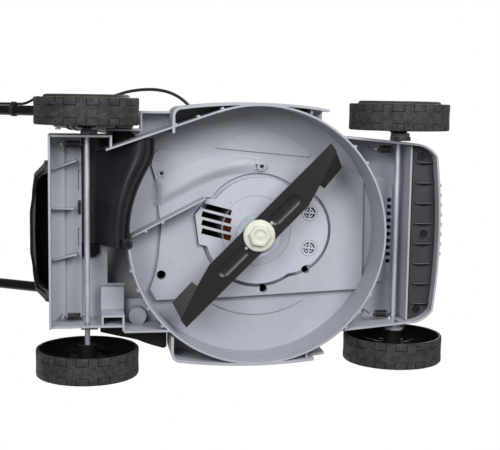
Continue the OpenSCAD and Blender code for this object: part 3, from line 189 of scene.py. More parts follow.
plainMoulding = {"cloud": 0.02, "grain": 0.0008, "depth": 0.0001, "bump": 0.3, "edge": 0.0008, "specular": 0.35}
glossyTrim = {"roughness": (0.3, 0.4), "grain": 0.0007, "depth": 0.00006, "bump": 0.2, "edge": 0.0006,
              "specular": 0.5}
smallTrim = {"depth": 0.00004, "bump": 0.2, "edge": 0, "specular": 0.4}
mouldings = {
    "deckGrey": {"colours": ((172, 175, 184), (163, 166, 176)), "cloud": 0.09, "roughness": (0.46, 0.58),
                 "grain": 0.0012, "bump": 0.25, "edge": 0.0012, "dust": (0.03, 0.12, srgb(150, 150, 152))},
    "mountGrey": {"colours": ((186, 189, 199), (179, 182, 193)), "cloud": 0.06, "roughness": (0.42, 0.55),
                  "grain": 0.001, "bump": 0.2},
    "chuteBlack": {"colours": ((24, 24, 32), (32, 32, 41)), "cloud": 0.05, "roughness": (0.34, 0.46),
                   "grain": 0.0012, "bump": 0.25, "edge": 0.001, "specular": 0.3},
    "insertBlack": {"colours": ((54, 53, 58), (62, 61, 67)), "cloud": 0.04, "roughness": (0.5, 0.65),
                    "grain": 0.0009, "depth": 0.00012, "bump": 0.4, "specular": 0.2},
    "coverBlack": {"colours": ((30, 30, 33), (38, 38, 42)), "cloud": 0.08, "roughness": (0.42, 0.55),
                   "grain": 0.0009, "depth": 0.00012, "bump": 0.4, "edge": 0.0015, "specular": 0.3},
    "flapBlack": {"colours": ((10, 10, 13), (16, 16, 19)), "cloud": 0.05, "roughness": (0.4, 0.55),
                  "grain": 0.0009, "edge": 0.0015, "specular": 0.15},
    "treadBlack": {"colours": ((40, 39, 42), (56, 55, 58)), "cloud": 0.022, "roughness": (0.5, 0.68),
                   "depth": 0.00012, "bump": 0.5, "specular": 0.2, "dust": (0.009, 0.3, srgb(98, 96, 94))},
    "capBlack": {"colours": ((46, 46, 50), (56, 56, 60)), "cloud": 0.03, "roughness": (0.5, 0.6),
                 "grain": 0.001, "bump": 0.25, "specular": 0.12},
    "boltCream": {"colours": ((212, 212, 200), (202, 202, 190)), "cloud": 0.015, "roughness": (0.4, 0.5),
                  "grain": 0.0006, "depth": 0.00005, "bump": 0.2, "edge": 0.0009},
    "knobBlack": {"colours": ((30, 30, 33), (40, 40, 43)), "roughness": (0.4, 0.55), "grain": 0.0007,
                  "bump": 0.4, "specular": 0.45},
    "switchBlack": {"colours": ((28, 28, 31), (36, 36, 40)), "cloud": 0.03, "roughness": (0.3, 0.45),
                    "bump": 0.35, "edge": 0.0015, "specular": 0.45},
    "gripFoam": {"colours": ((26, 26, 27), (36, 36, 37)), "cloud": 0.01, "roughness": (0.8, 0.95),
                 "grain": 0.0011, "depth": 0.0003, "bump": 0.6, "edge": 0.001, "specular": 0.25},
    "cableBlack": {"colours": ((22, 22, 24), (30, 30, 32)), "roughness": (0.45, 0.6), "grain": 0.0007,
                   "depth": 0.00006, "edge": 0, "specular": 0.4},
    "keyRed": {**glossyTrim, "colours": ((190, 36, 26), (172, 30, 22))},
    "buttonOrange": {**glossyTrim, "colours": ((205, 96, 30), (190, 84, 24))},
    "boardGreen": {"colours": ((20, 74, 44), (26, 88, 50)), "cloud": 0.01, "roughness": (0.3, 0.4),
                   "grain": 0.002, "depth": 0.00005, "edge": 0, "specular": 0.5},
    "springBlack": {**smallTrim, "colours": ((24, 24, 27), (34, 34, 38)), "roughness": (0.25, 0.35),
                    "specular": 0.55},
    # lighter grey for painted highlights: the eyelids' tops, the rings round the insert's screws and the lit
    # face of the flap's flange
    "paintedHighlightGrey": {**smallTrim, "colours": ((84, 84, 90), (74, 74, 80)), "roughness": (0.35, 0.5)},
    "ringYellow": {**smallTrim, "colours": ((126, 106, 48), (104, 86, 40)), "roughness": (0.4, 0.5)},
    # near-black finish for painted shade inside the wheels, in the tread's lines, in the eyelid mouths and on
    # the plate beside the chute; it is also the colour of the black plates over the rear axle's ends
    "paintedShadeBlack": {"colours": ((10, 10, 13), (16, 16, 19)), "cloud": 0.03, "roughness": (0.5, 0.65),
                    "depth": 0.00008, "edge": 0.0006, "specular": 0.15},
    "carrierGrey": {"colours": ((160, 168, 176), (150, 158, 168)), "cloud": 0.01, "roughness": (0.4, 0.5),
                    "grain": 0.0006, "depth": 0.00004, "bump": 0.2, "edge": 0.0004, "specular": 0.5},
    "pegBlack": {"colours": ((36, 36, 40), (46, 46, 50)), "roughness": (0.45, 0.6), "depth": 0.00006,
                 "edge": 0.0005, "specular": 0.25},
    "bushGrey": {"colours": ((120, 121, 127), (108, 109, 116)), "roughness": (0.42, 0.55), "grain": 0.0009,
                 "specular": 0.45},
}
plainMetal = {"stretch": (1, 1, 1), "streak": 0.0012, "depth": 0.00003, "bump": 0.3, "edge": 0.0003,
              "metallic": 0, "specular": 0.5}
metals = {
    "zincSteel": {"colours": ((204, 210, 219), (186, 194, 205)), "stretch": (1, 0.05, 1), "streak": 0.0006,
                  "roughness": (0.34, 0.46), "edge": 0.0005, "metallic": 0.7},
    "springWire": {"colours": ((170, 174, 180), (140, 144, 150)), "streak": 0.001, "roughness": (0.28, 0.42),
                   "depth": 0.00002, "edge": 0, "metallic": 1.0},
    "bladeBlack": {"colours": ((20, 20, 26), (15, 15, 20)), "streak": 0.0016, "roughness": (0.32, 0.38),
                   "depth": 0.00001, "bump": 0.1, "edge": 0},
    "tubeBlack": {"colours": ((9, 9, 11), (14, 14, 16)), "roughness": (0.3, 0.42), "depth": 0.00004,
                  "edge": 0.0006, "specular": 0.2},
    "sideBlack": {"colours": ((24, 23, 24), (32, 31, 32)), "roughness": (0.4, 0.52), "depth": 0.00004,
                  "edge": 0.0008, "specular": 0.25},
    "darkSteel": {"colours": ((58, 58, 62), (40, 40, 44)), "streak": 0.0008, "roughness": (0.3, 0.42),
                  "metallic": 0.8},
    "copperWire": {"colours": ((150, 78, 26), (110, 56, 20)), "stretch": (1, 1, 30), "streak": 0.01,
                   "roughness": (0.3, 0.45), "depth": 0.0003, "bump": 0.8, "edge": 0, "metallic": 0.6},
    "coreSteel": {"colours": ((90, 92, 96), (70, 72, 76)), "stretch": (1, 1, 40), "streak": 0.02,
                  "roughness": (0.4, 0.55), "depth": 0.0001, "bump": 0.5, "edge": 0, "metallic": 0.9},
    "contactBrass": {"colours": ((214, 188, 120), (196, 168, 104)), "stretch": (1, 1, 0.1), "streak": 0.001,
                     "roughness": (0.22, 0.34), "depth": 0.00002, "bump": 0.2, "metallic": 1.0},
}
finishes = {name: mouldedFinish(name, {**plainMoulding, **facts}) for name, facts in mouldings.items()}
finishes.update({name: metalFinish(name, {**plainMetal, **facts}) for name, facts in metals.items()})

# which CAD nodes wear which finish
wearing = {
    "deckGrey": ["deck", "battery_lid"],
    "mountGrey": ["motor_mount", "vent_plugs"],
    "chuteBlack": ["discharge_chute"],
    "insertBlack": ["front_insert"],
    "coverBlack": ["motor_cover", "battery_rails", "battery_pack"],
    "flapBlack": ["rear_flap"],
    "treadBlack": ["wheel_" + corner for corner in corners],
    "capBlack": ["hub_cap_" + corner for corner in corners],
    "boltCream": ["blade_bolt"],
    "knobBlack": ["clamp_knob_left", "clamp_knob_right"],
    "switchBlack": ["switch_box"],
    "gripFoam": ["grip"],
    "cableBlack": ["handle_cable", "lower_cable", "deck_cable", "fold_cable"],
    "keyRed": ["safety_key"],
    "buttonOrange": ["lock_button"],
    "boardGreen": ["control_board"],
    "bushGrey": ["rear_axle_bushes", "front_axle_bushes"],
    "darkSteel": ["front_insert_screws", "mount_screws"],
    "carrierGrey": ["blade_carrier"],
    "zincSteel": ["motor_can", "spindle_bearing", "rotor_shaft",
                  "rear_axle", "front_axle", "flap_pin", "lid_pin", "pivot_bolts", "clamp_bolts", "bail_lever"],
    "springWire": ["rear_axle_clips", "front_axle_clips"] + ["spring_" + corner for corner in corners],
    "bladeBlack": ["blade"],
    "tubeBlack": ["lower_tube_left", "lower_tube_right", "upper_handle"],
    "sideBlack": ["handle_bracket_left", "handle_bracket_right"],
    "copperWire": ["motor_windings"],
    "coreSteel": ["rotor_core"],
    "contactBrass": ["battery_terminals"],
}
for finish, wearers in wearing.items():
    for name in wearers:
        mesh = nodes[name].data
        mesh.materials.clear()
        mesh.materials.append(finishes[finish])
worn = {name for wearers in wearing.values() for name in wearers}
print("mower: finishes made, bare nodes", sorted(set(nodes) - worn))


# cables, which hang free beside the fold and down to the motor cover, in millimetres from part.scad's routes
cable = {
    "radius": 0.0025, "steps": 4,
    "deckRoute": [(-259, -162, 403), (-255, -163, 387), (-249, -168, 369), (-241, -176, 348),
                  (-230, -185, 323), (-216, -193, 297), (-199, -201, 270), (-180, -207, 244),
                  (-160, -210, 220), (-139, -210, 199), (-118, -205, 181), (-100, -194, 168),
                  (-86, -178, 159), (-78, -160, 155.5), (-74.4, -142, 155), (-74, -124.2, 155)],
    "foldRoute": [(-370, -182, 603), (-361, -184, 597), (-352, -188, 588), (-345, -192, 576),
                  (-339, -195, 562), (-333, -195, 546), (-325, -192, 529), (-314, -186, 515),
                  (-302, -178, 504), (-290, -170, 494), (-281, -163, 484), (-277, -162, 472)],
}


# points of a smooth curve through the given ones, turned from millimetres to metres
def smoothRoute(points, steps):
    found = []
    for i in range(len(points) - 1):
        a, b = Vector(points[max(i - 1, 0)]), Vector(points[i])
        c, d = Vector(points[i + 1]), Vector(points[min(i + 2, len(points) - 1)])
        for k in range(steps):
            t = k / steps
            found.append(0.5 * (2 * b + (c - a) * t + (2 * a - 5 * b + 4 * c - d) * t ** 2
                                + (3 * b - a - 3 * c + d) * t ** 3) / 1000)
    return found + [Vector(points[-1]) / 1000]


def cableCurve(name, route, body, node):
    points = smoothRoute(route, cable["steps"])
    curve = bpy.data.curves.new(name, "CURVE")
    curve.dimensions = "3D"
    curve.bevel_depth = cable["radius"]
    curve.bevel_resolution = 4
    curve.use_fill_caps = True
    line = curve.splines.new("POLY")
    line.points.add(len(points) - 1)
    for point, place in zip(line.points, points):
        point.co = (*place, 1)
    piece = bpy.data.objects.new(name, curve)
    scene.collection.objects.link(piece)
    curve.materials.append(finishes["cableBlack"])
    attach(piece, body)
    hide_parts(node)


cableCurve("deckCable", cable["deckRoute"], "deck_body", "deck_cable")
cableCurve("foldCable", cable["foldRoute"], "lower_handle", "fold_cable")


# mesh helpers
def pieceFrom(name, bm, finish, body, node=None, smooth=35, grid=None, closed=True):
    if grid is not None:
        bmesh.ops.transform(bm, matrix=grid, verts=bm.verts)
    if closed:
        bmesh.ops.recalc_face_normals(bm, faces=bm.faces)
    mesh = bpy.data.meshes.new(name)
    bm.to_mesh(mesh)
    bm.free()
    mesh.materials.append(finishes[finish])
    for face in mesh.polygons:
        face.use_smooth = True
    piece = bpy.data.objects.new(name, mesh)
    scene.collection.objects.link(piece)
    mesh.set_sharp_from_angle(angle=math.radians(smooth))
    if body:
        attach(piece, body)
    if node:
        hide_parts(node)
    return piece


def addStrip(bm, rings, closed=True):
    rows = [[bm.verts.new(point) for point in ring] for ring in rings]
    count = len(rows[0])
    last = count if closed else count - 1
    for low, high in zip(rows, rows[1:]):
        for k in range(last):
            m = (k + 1) % count
            bm.faces.new((low[k], low[m], high[m], high[k]))
    return rows


def softStep(t):
    t = min(1, max(0, t))
    return t * t * (3 - 2 * t)


def closeEnds(bm, rows):
    bm.faces.new(list(reversed(rows[0])))
    bm.faces.new(rows[-1])


def circle(radius, steps, turn=0.0):
    angles = [2 * math.pi * k / steps + turn for k in range(steps)]
    return [(radius * math.cos(a), radius * math.sin(a)) for a in angles]


# turned shape round the y axis from (radius, y) pairs
def addTurned(bm, profile, steps):
    addStrip(bm, [[(u, y, v) for u, v in circle(radius, steps)] for radius, y in profile])


# turned shape that stands on a place and faces down, from (radius, drop) pairs
def turnedDown(bm, place, profile, steps=40):
    x, y, z = place
    return addStrip(bm, [[(x + u, y + v, z - drop) for u, v in circle(radius, steps)]
                         for radius, drop in profile])


def addBlock(bm, low, high, grid=None):
    made = bmesh.ops.create_cube(bm, size=1.0)["verts"]
    middle = (Vector(low) + Vector(high)) / 2
    span = Vector(high) - Vector(low)
    for vert in made:
        vert.co = Vector((vert.co.x * span.x, vert.co.y * span.y, vert.co.z * span.z)) + middle
        if grid is not None:
            vert.co = grid @ vert.co


def tubeAlong(bm, path, radius, sides):
    side = Vector((0, 0, 1))
    rings = []
    for i, point in enumerate(path):
        along = (path[min(i + 1, len(path) - 1)] - path[max(i - 1, 0)]).normalized()
        side = (side - along * side.dot(along)).normalized()
        other = along.cross(side)
        rings.append([point + u * side + v * other for u, v in circle(radius, sides)])
    closeEnds(bm, addStrip(bm, rings))


# wheels: tread with two rows of outlined blocks, open inside with hub and ribs
wheel = {
    "radius": 0.075, "width": 0.039, "hub": -0.004, "seat": 0.027, "web": 0.023, "rim": 0.005, "bore": 0.00415,
    "blocks": 15, "blockShare": 0.55, "rowDepth": 0.0108, "line": 0.0008, "lineDepth": 0.0009, "rise": 0.0003,
    "lineSides": (-1.15, -0.85, 0.85, 1.15),       # of half a line's width
    "shoulder": 0.0018, "shoulderRound": 0.0024, "edgeRows": [0, 0.0006, 0.0012, 0.002],
    "gapMarks": (0.33, 0.67), "plainEdge": 0.0004, "edgeAngle": 0.2,
    "steps": 120, "ribs": 8, "ribTurn": 0.2, "pins": 3, "pinTurn": 0.5,
    # the dark faces are painted shade; these say how far it reaches
    "darkRim": 0.0006, "darkSide": 0.0008, "darkLine": 0.0004,      # how far the dark faces reach
}


def treadRadius(angle, y):
    pitch = 2 * math.pi / wheel["blocks"]
    along = ((angle + pitch / 2) % pitch - pitch / 2) * wheel["radius"]
    half = pitch * wheel["radius"] * wheel["blockShare"] / 2
    inward = min(y, wheel["width"] - y)
    outer = max(abs(along) - half, inward - wheel["rowDepth"])
    base = wheel["radius"] - wheel["rise"]
    edge = wheel["shoulder"] - inward
    if edge > 0:
        base -= edge * edge / wheel["shoulderRound"]
    if abs(outer) < wheel["line"] / 2 and inward > wheel["plainEdge"]:
        return base - wheel["lineDepth"]
    return base + (wheel["rise"] if outer < 0 else 0)


def treadSteps():
    pitch = 2 * math.pi / wheel["blocks"]
    half = pitch * wheel["blockShare"] / 2
    gap = pitch - 2 * half
    sides = [side * wheel["line"] / wheel["radius"] / 2 for side in wheel["lineSides"]]
    marks = [side - half for side in sides] + [-half / 2, 0, half / 2] + [side + half for side in sides]
    marks += [half + gap * share for share in wheel["gapMarks"]]
    return [i * pitch + mark for i in range(wheel["blocks"]) for mark in marks]


def treadRows():
    width = wheel["width"]
    near = wheel["edgeRows"] + [wheel["rowDepth"] + side * wheel["line"] / 2 for side in wheel["lineSides"]]
    return near + [width / 2] + [width - y for y in reversed(near)]


def wheelMesh(bm):
    steps = treadSteps()
    rows = []
    for y in treadRows():
        ring = []
        for angle in steps:
            r = treadRadius(angle, y)
            ring.append((r * math.cos(angle), y, r * math.sin(angle)))
        rows.append(ring)
    addStrip(bm, rows)
    radius, width, rim, seat, web = (wheel[k] for k in ("radius", "width", "rim", "seat", "web"))
    hub, bore = wheel["hub"], wheel["bore"]
    edge = treadRadius(wheel["edgeAngle"], 0)
    # inner rim, web and hub as one turned skin, with small steps and rings
    addTurned(bm, [(edge - 0.0004, width - 0.0002), (radius - 0.0045, width), (radius - 0.009, width),
                   (radius - 0.0095, width - 0.0006), (radius - 0.0118, width - 0.002),
                   (radius - 0.012, seat + 0.001), (0.02, seat), (0.013, seat), (bore, seat), (bore, hub),
                   (0.0066, hub), (0.007, hub + 0.001), (0.0105, hub + 0.001), (0.0112, hub), (0.0124, hub),
                   (0.013, hub + 0.0006), (0.0134, web - 0.0015), (0.0145, web), (0.0245, web),
                   (0.025, web - 0.0012), (0.0268, web - 0.0012), (0.0273, web), (0.046, web),
                   (0.0465, web - 0.001), (0.048, web - 0.001), (0.0485, web), (radius - rim - 0.006, web),
                   (radius - rim - 0.0015, web - 0.0015), (radius - rim, web - 0.006),
                   (radius - rim + 0.0004, 0.0006), (radius - rim + 0.001, 0), (radius - 0.003, 0),
                   (edge - 0.0004, 0.0002)], wheel["steps"])
    for k in range(wheel["ribs"]):
        grid = Matrix.Rotation(k * math.pi * 2 / wheel["ribs"] + wheel["ribTurn"], 4, "Y")
        addBlock(bm, (0.0125, web - 0.0105, -0.0013), (0.0262, web + 0.001, 0.0013), grid)
        addBlock(bm, (0.026, web - 0.006, -0.0011), (radius - rim - 0.0005, web + 0.001, 0.0011), grid)
    # pins of the cap, which show through the web
    for k in range(wheel["pins"]):
        grid = Matrix.Rotation(k * math.pi * 2 / wheel["pins"] + wheel["pinTurn"], 4, "Y")
        addBlock(bm, (0.031, web - 0.003, -0.003), (0.037, web + 0.001, 0.003), grid)


# hub cap: (radius, height in mm, share of the pockets' depth), and the thin yellow ring under its edge
cap = {
    "profile": [(0.0004, 2.0, 0), (0.012, 2.2, 0), (0.0145, 4.3, 0), (0.021, 4.4, 0), (0.025, 4.4, 0.2),
                (0.032, 4.4, 1), (0.04, 4.3, 1), (0.047, 4.3, 1), (0.052, 4.3, 0.2), (0.0555, 4.2, 0),
                (0.0585, 3.9, 0), (0.0603, 3.1, 0), (0.0612, 2.0, 0), (0.0618, 0.4, 0), (0.0618, -1.0, 0),
                (0.0588, -1.0, 0), (0.0585, 0.4, 0), (0.053, 1.2, 0), (0.02, 1.4, 0), (0.0004, -0.6, 0)],
    "pockets": 6, "depth": 1.3, "sharp": 1.6, "steps": 96,
    "ring": [(0.0627, 0.0388), (0.063, 0.0391), (0.0627, 0.0395), (0.0621, 0.0395), (0.0619, 0.0391),
             (0.0627, 0.0388)],
}


# domed cap with six shallow pockets round its middle
def capMesh(bm):
    rings = []
    for radius, height, share in cap["profile"]:
        ring = []
        for k in range(cap["steps"]):
            a = 2 * math.pi * k / cap["steps"]
            dip = share * cap["depth"] * min(1, max(0, 0.5 + cap["sharp"] * math.cos(cap["pockets"] * a)))
            ring.append((radius * math.cos(a), wheel["width"] + (height - dip) / 1000, radius * math.sin(a)))
        rings.append(ring)
    closeEnds(bm, addStrip(bm, rings))


def makeWheels():
    dark = wheel["darkSide"]
    for corner in corners:
        side = 1 if corner.endswith("left") else -1
        low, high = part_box("wheel_" + corner)
        y = low[1] - wheel["hub"] if side > 0 else high[1] + wheel["hub"]
        x, z = (low[0] + high[0]) / 2, (low[2] + high[2]) / 2
        turn = Matrix.Identity(4) if side > 0 else Matrix.Rotation(math.pi, 4, "Z")
        grid = Matrix.Translation((x, y, z)) @ turn
        body = corner + "_wheel"
        bm = bmesh.new()
        wheelMesh(bm)
        tyre = pieceFrom("tyre_" + corner, bm, "treadBlack", body, "wheel_" + corner, 30,
                         grid)
        tyre.data.materials.append(finishes["paintedShadeBlack"])
        # painted shade: the inside of the wheel and the bottoms of the tread's lines take the near-black
        # finish, for the shade that falls there
        for face in tyre.data.polygons:
            middle = face.center
            out = math.hypot(middle.x - x, middle.z - z)
            inside = side * (middle.y - y)
            if out < wheel["radius"] - wheel["rim"] + wheel["darkRim"] and inside < wheel["web"] + dark:
                face.material_index = 1
            bottom = wheel["radius"] - wheel["rise"] - wheel["darkLine"]
            if dark < inside < wheel["width"] - dark and out < bottom:
                face.material_index = 1
        bm = bmesh.new()
        capMesh(bm)
        pieceFrom("cap_" + corner, bm, "capBlack", body, "hub_cap_" + corner, 40, grid)
        bm = bmesh.new()
        addTurned(bm, cap["ring"], cap["steps"])
        pieceFrom("cap_ring_" + corner, bm, "ringYellow", body, None, 60, grid)


makeWheels()
print("mower: wheels made")


# springs, which stretch between the deck and an axle
spring = {"coil": 0.0052, "wire": 0.0008, "hook": 0.006, "hookReach": 0.9, "hookShare": 0.86, "hookSteps": 9,
          "curls": 8, "steps": 20, "sides": 8, "still": 0.004}


def springPath(low, high):
    coil, hook, count = spring["coil"], spring["hook"], spring["hookSteps"]
    bend = hook * spring["hookShare"]
    y, z = (low[1] + high[1]) / 2, (low[2] + high[2]) / 2
    x0, x1 = low[0] + hook * spring["hookReach"], high[0] - hook * spring["hookReach"]
    path = []
    for k in range(count):
        t = k / count
        path.append(Vector((x0 - bend * (1 - t), y + coil * t * t, z)))
    total = spring["curls"] * spring["steps"]
    for k in range(total + 1):
        a = 2 * math.pi * k / spring["steps"]
        path.append(Vector((x0 + (x1 - x0) * k / total, y + coil * math.cos(a), z + coil * math.sin(a))))
    for k in range(1, count + 1):
        t = k / count
        path.append(Vector((x1 + bend * t, y + coil * (1 - t) ** 2, z)))
    return path


def makeSprings():
    for corner in corners:
        node = "spring_" + corner
        low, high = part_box(node)
        bm = bmesh.new()
        tubeAlong(bm, springPath(low, high), spring["wire"], spring["sides"])
        piece = pieceFrom("coil_" + corner, bm, "springBlack", None, node, 60)
        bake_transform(piece)


makeSprings()
print("mower: springs made")


# blade: the long stamped hollow each side of the hub is cut into a copy of the plate
blade = {
    "turn": -45, "face": 0.044, "start": 0.0245, "end": 0.082, "mouth": 0.0096, "flat": 0.9995, "soft": 26,
    "hollow": [(-0.0008, 0.0102), (0.0, 0.0096), (0.0006, 0.0086), (0.0011, 0.0075), (0.0015, 0.0063),
               (0.0018, 0.005), (0.00195, 0.0037), (0.002, 0.0026)],       # depth and half width
}


def stadium(start, end, width, steps=14):
    points = []
    for middle, first in ((end - width, -math.pi / 2), (start + width, math.pi / 2)):
        for k in range(steps + 1):
            a = first + math.pi * k / steps
            points.append((middle + width * math.cos(a), width * math.sin(a)))
    return points


def makeBlade():
    source = nodes["blade"]
    piece = bpy.data.objects.new("stamped_blade", source.data.copy())
    piece.matrix_world = source.matrix_world.copy()
    scene.collection.objects.link(piece)
    bm = bmesh.new()
    for half in (0, 180):
        grid = Matrix.Rotation(math.radians(blade["turn"] + half), 4, "Z")
        rings = []
        for depth, width in blade["hollow"]:
            inset = blade["mouth"] - width
            outline = stadium(blade["start"] + inset, blade["end"] - inset, width)
            rings.append([grid @ Vector((u, v, blade["face"] + depth)) for u, v in outline])
        closeEnds(bm, addStrip(bm, rings))
    bmesh.ops.recalc_face_normals(bm, faces=bm.faces)
    mesh = bpy.data.meshes.new("bladeCutter")
    bm.to_mesh(mesh)
    bm.free()
    cutter = bpy.data.objects.new("bladeCutter", mesh)
    scene.collection.objects.link(cutter)
    change = piece.modifiers.new("hollow", "BOOLEAN")
    change.operation = "DIFFERENCE"
    change.solver = "EXACT"
    change.object = cutter
    bpy.context.view_layer.update()
    cut = piece.evaluated_get(bpy.context.evaluated_depsgraph_get())
    shaped = bpy.data.meshes.new_from_object(cut)
    piece.modifiers.clear()
    piece.data = shaped
    bpy.data.objects.remove(cutter)
    shaped.materials.clear()
    shaped.materials.append(finishes["bladeBlack"])
    for face in shaped.polygons:
        face.material_index = 0
        face.use_smooth = True
    bm = bmesh.new()
    bm.from_mesh(shaped)
    for edge in bm.edges:       # the flat underside keeps sharp borders
        flats = [face.normal.z < -blade["flat"] for face in edge.link_faces]
        soft = edge.calc_face_angle(0) < math.radians(blade["soft"])
        edge.smooth = all(flats) or (edge.is_manifold and not any(flats) and soft)
    bm.to_mesh(shaped)
    bm.free()
    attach(piece, "rotor")
    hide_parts("blade")


makeBlade()
print("mower: blade made")


# chute: one smooth skin from the lip on the chamber's circle up to the tunnel floor, in millimetres, and in
# metres its shelf, the cheek that closes the tunnel's side, and the screw lug over the chamber wall's end
chute = {
    "ring": 188, "straight": 152, "corner": 40, "start": -140.5, "end": 17.5, "rows": 30, "rampSteps": 14,
    "head": -237, "headRound": 4, "back": -255.5, "floor": 101, "thick": 2.6, "bend": 0.35,
    "wall": (-222, -124.5, -0.351, 3.71), "wallLead": 7.5,
    "lip": [(1.9, 55), (1.1, 48), (0.6, 42.5), (0.9, 41), (1.8, 40.1), (2.8, 40.1), (3.6, 41), (4.2, 43.2),
            (5.2, 46), (7, 47.8), (9.5, 48), (12, 47), (14, 45.6), (16, 44.5), (18, 44.1)],
    "inside": [(18, 46.7), (16, 47.1), (14, 48.2), (12, 49.6), (9.5, 50.6), (7, 50.7), (5.4, 51.5), (4.8, 55)],
    "shelf": ((-0.2555, -0.1405, 0.101), (-0.2298, -0.1175, 0.1036)),
    "cheek": [(-0.1925, 0.0478), (-0.2125, 0.0468), (-0.2358, 0.1015), (-0.2358, 0.1114), (-0.1925, 0.1114)],
    "cheekSides": (0.0148, 0.0174),
    "lug": ((-0.1985, 0.0035, 0.0385), (-0.1895, 0.0115, 0.0445)), "lugPlace": (-0.1905, 0.0115, 0.0448),
    "lugRing": [(0.0036, 0), (0.0036, 0.0076), (0.0042, 0.0084), (0.0062, 0.0084), (0.0068, 0.0076),
                (0.0068, 0), (0.0036, 0)],
    "screw": (-0.1905, 0.0115, 0.041), "screwSize": (0.0034, 0.0032),
}


# back from the middle line at y: the circle, blended into the straight end
def chuteX(y, out):
    ringX = math.sqrt(max((chute["ring"] + out) ** 2 - y * y, 1))
    high = max(ringX, chute["straight"] + out)
    power = chute["corner"]
    return -high * ((ringX / high) ** power + ((chute["straight"] + out) / high) ** power) ** (1 / power)


def chuteSection(y):
    front = [(chuteX(y, out), z) for out, z in chute["lip"]]
    crestX, crestZ = front[-1]
    ramp = []
    for k in range(1, chute["rampSteps"] + 1):
        t = k / chute["rampSteps"]
        rise = softStep(t) * (1 - chute["bend"] * t) + chute["bend"] * t * t
        ramp.append((crestX + (chute["head"] - crestX) * t, crestZ + (chute["floor"] - crestZ) * rise))
    line = front + ramp
    line += [(chute["head"] - chute["headRound"], chute["floor"]), (chute["back"], chute["floor"])]
    rear = []
    for k in range(len(line) - 1, len(front) - 1, -1):
        a, b = line[k - 1], line[min(k + 1, len(line) - 1)]
        dx, dz = b[0] - a[0], b[1] - a[1]
        size = math.hypot(dx, dz)
        rear.append((line[k][0] + dz / size * chute["thick"], line[k][1] - dx / size * chute["thick"]))
    return line + rear + [(chuteX(y, out), z) for out, z in chute["inside"]]


def chuteStart(x):
    wallX, wallY, slope, clear = chute["wall"]
    return max(chute["start"], wallY + slope * (max(x, wallX - chute["wallLead"]) - wallX) + clear)


def makeChute():
    bm = bmesh.new()
    rings = []
    for row in range(chute["rows"] + 1):
        share = row / chute["rows"]
        y = chute["start"] + (chute["end"] - chute["start"]) * share
        for _ in range(4):
            section = chuteSection(y)
            firsts = [chuteStart(x) for x, z in section]
            y = sum(firsts) / len(firsts) * (1 - share) + chute["end"] * share
        ring = []
        for index in range(len(section)):
            along = y
            for _ in range(5):
                x, z = chuteSection(along)[index]
                along = chuteStart(x) * (1 - share) + chute["end"] * share
            ring.append(Vector((x, along, z)) / 1000)
        rings.append(ring)
    closeEnds(bm, addStrip(bm, rings))
    addBlock(bm, *chute["shelf"])
    closeEnds(bm, addStrip(bm, [[(x, y, z) for x, z in chute["cheek"]] for y in chute["cheekSides"]]))
    addBlock(bm, *chute["lug"])
    turnedDown(bm, chute["lugPlace"], chute["lugRing"], 32)
    pieceFrom("smooth_chute", bm, "chuteBlack", "deck_body", "discharge_chute", 35)
    bm = bmesh.new()
    screwHead(bm, chute["screw"], *chute["screwSize"])
    pieceFrom("chute_screw", bm, "darkSteel", "deck_body", None, 30)


def screwHead(bm, place, radius, height):
    profile = [(radius, 0), (radius, height * 0.6), (radius * 0.9, height * 0.85), (radius * 0.7, height),
               (radius * 0.42, height), (radius * 0.36, height * 0.9), (radius * 0.34, height * 0.35),
               (0.0001, height * 0.3)]
    closeEnds(bm, turnedDown(bm, place, profile, 24))


makeChute()
print("mower: chute made")


# nut of the blade: low soft hexagon with a shallow dish on a round flange, as (radius, drop) pairs
bolt = {
    "face": 0.044, "steps": 72, "turn": math.radians(8), "blunt": 0.965,
    "foot": [(0.0052, 0), (0.0232, 0), (0.0236, 0.0006), (0.0236, 0.0036), (0.023, 0.0048), (0.0216, 0.0054),
             (0.019, 0.0058)],
    "hexagon": [(0.0177, 0.0062), (0.0169, 0.007), (0.0166, 0.0098), (0.0161, 0.0108), (0.0152, 0.0114)],
    "dish": [(0.0098, 0.0114), (0.0092, 0.011), (0.0088, 0.0106), (0.0046, 0.0105), (0.0042, 0.0108),
             (0.0002, 0.0109)],
}


def hexRing(radius, drop):
    points = []
    for k, (x, y) in enumerate(circle(1, bolt["steps"], bolt["turn"])):
        fold = 2 * math.pi * k / bolt["steps"] % (math.pi / 3) - math.pi / 6
        r = min(radius * math.cos(math.pi / 6) / math.cos(fold), radius * bolt["blunt"])
        points.append((r * x, r * y, bolt["face"] - drop))
    return points


def roundRing(radius, drop):
    return [(x, y, bolt["face"] - drop) for x, y in circle(radius, bolt["steps"], bolt["turn"])]


def makeBolt():
    bm = bmesh.new()
    rings = [roundRing(*pair) for pair in bolt["foot"]] + [hexRing(*pair) for pair in bolt["hexagon"]]
    closeEnds(bm, addStrip(bm, rings + [roundRing(*pair) for pair in bolt["dish"]]))
    pieceFrom("blade_nut", bm, "boltCream", "rotor", "blade_bolt", 50)


makeBolt()


# plugs in the mount: ring, cross spokes, four open quarters, a small dome, and dark arcs on each quarter's
# floor that paint the shadows along its edges
plug = {
    "places": [(0.087, -0.027), (0.087, 0.027)], "face": 0.0976, "sink": 0.0034, "tall": 0.0038,
    "radius": 0.0122, "mouth": 0.0088, "spoke": 0.0011, "deep": 0.003, "lean": 6, "middle": 0.0001,
    "slots": ((0.0078, 33), (0.004, 22)), "shadowArcWire": 0.0008,
    "dome": [(0.0026, 0.0008), (0.0026, 0.0034), (0.0021, 0.0038), (0.0012, 0.004), (0.0009, 0.0047),
             (0.0001, 0.0049)],
}


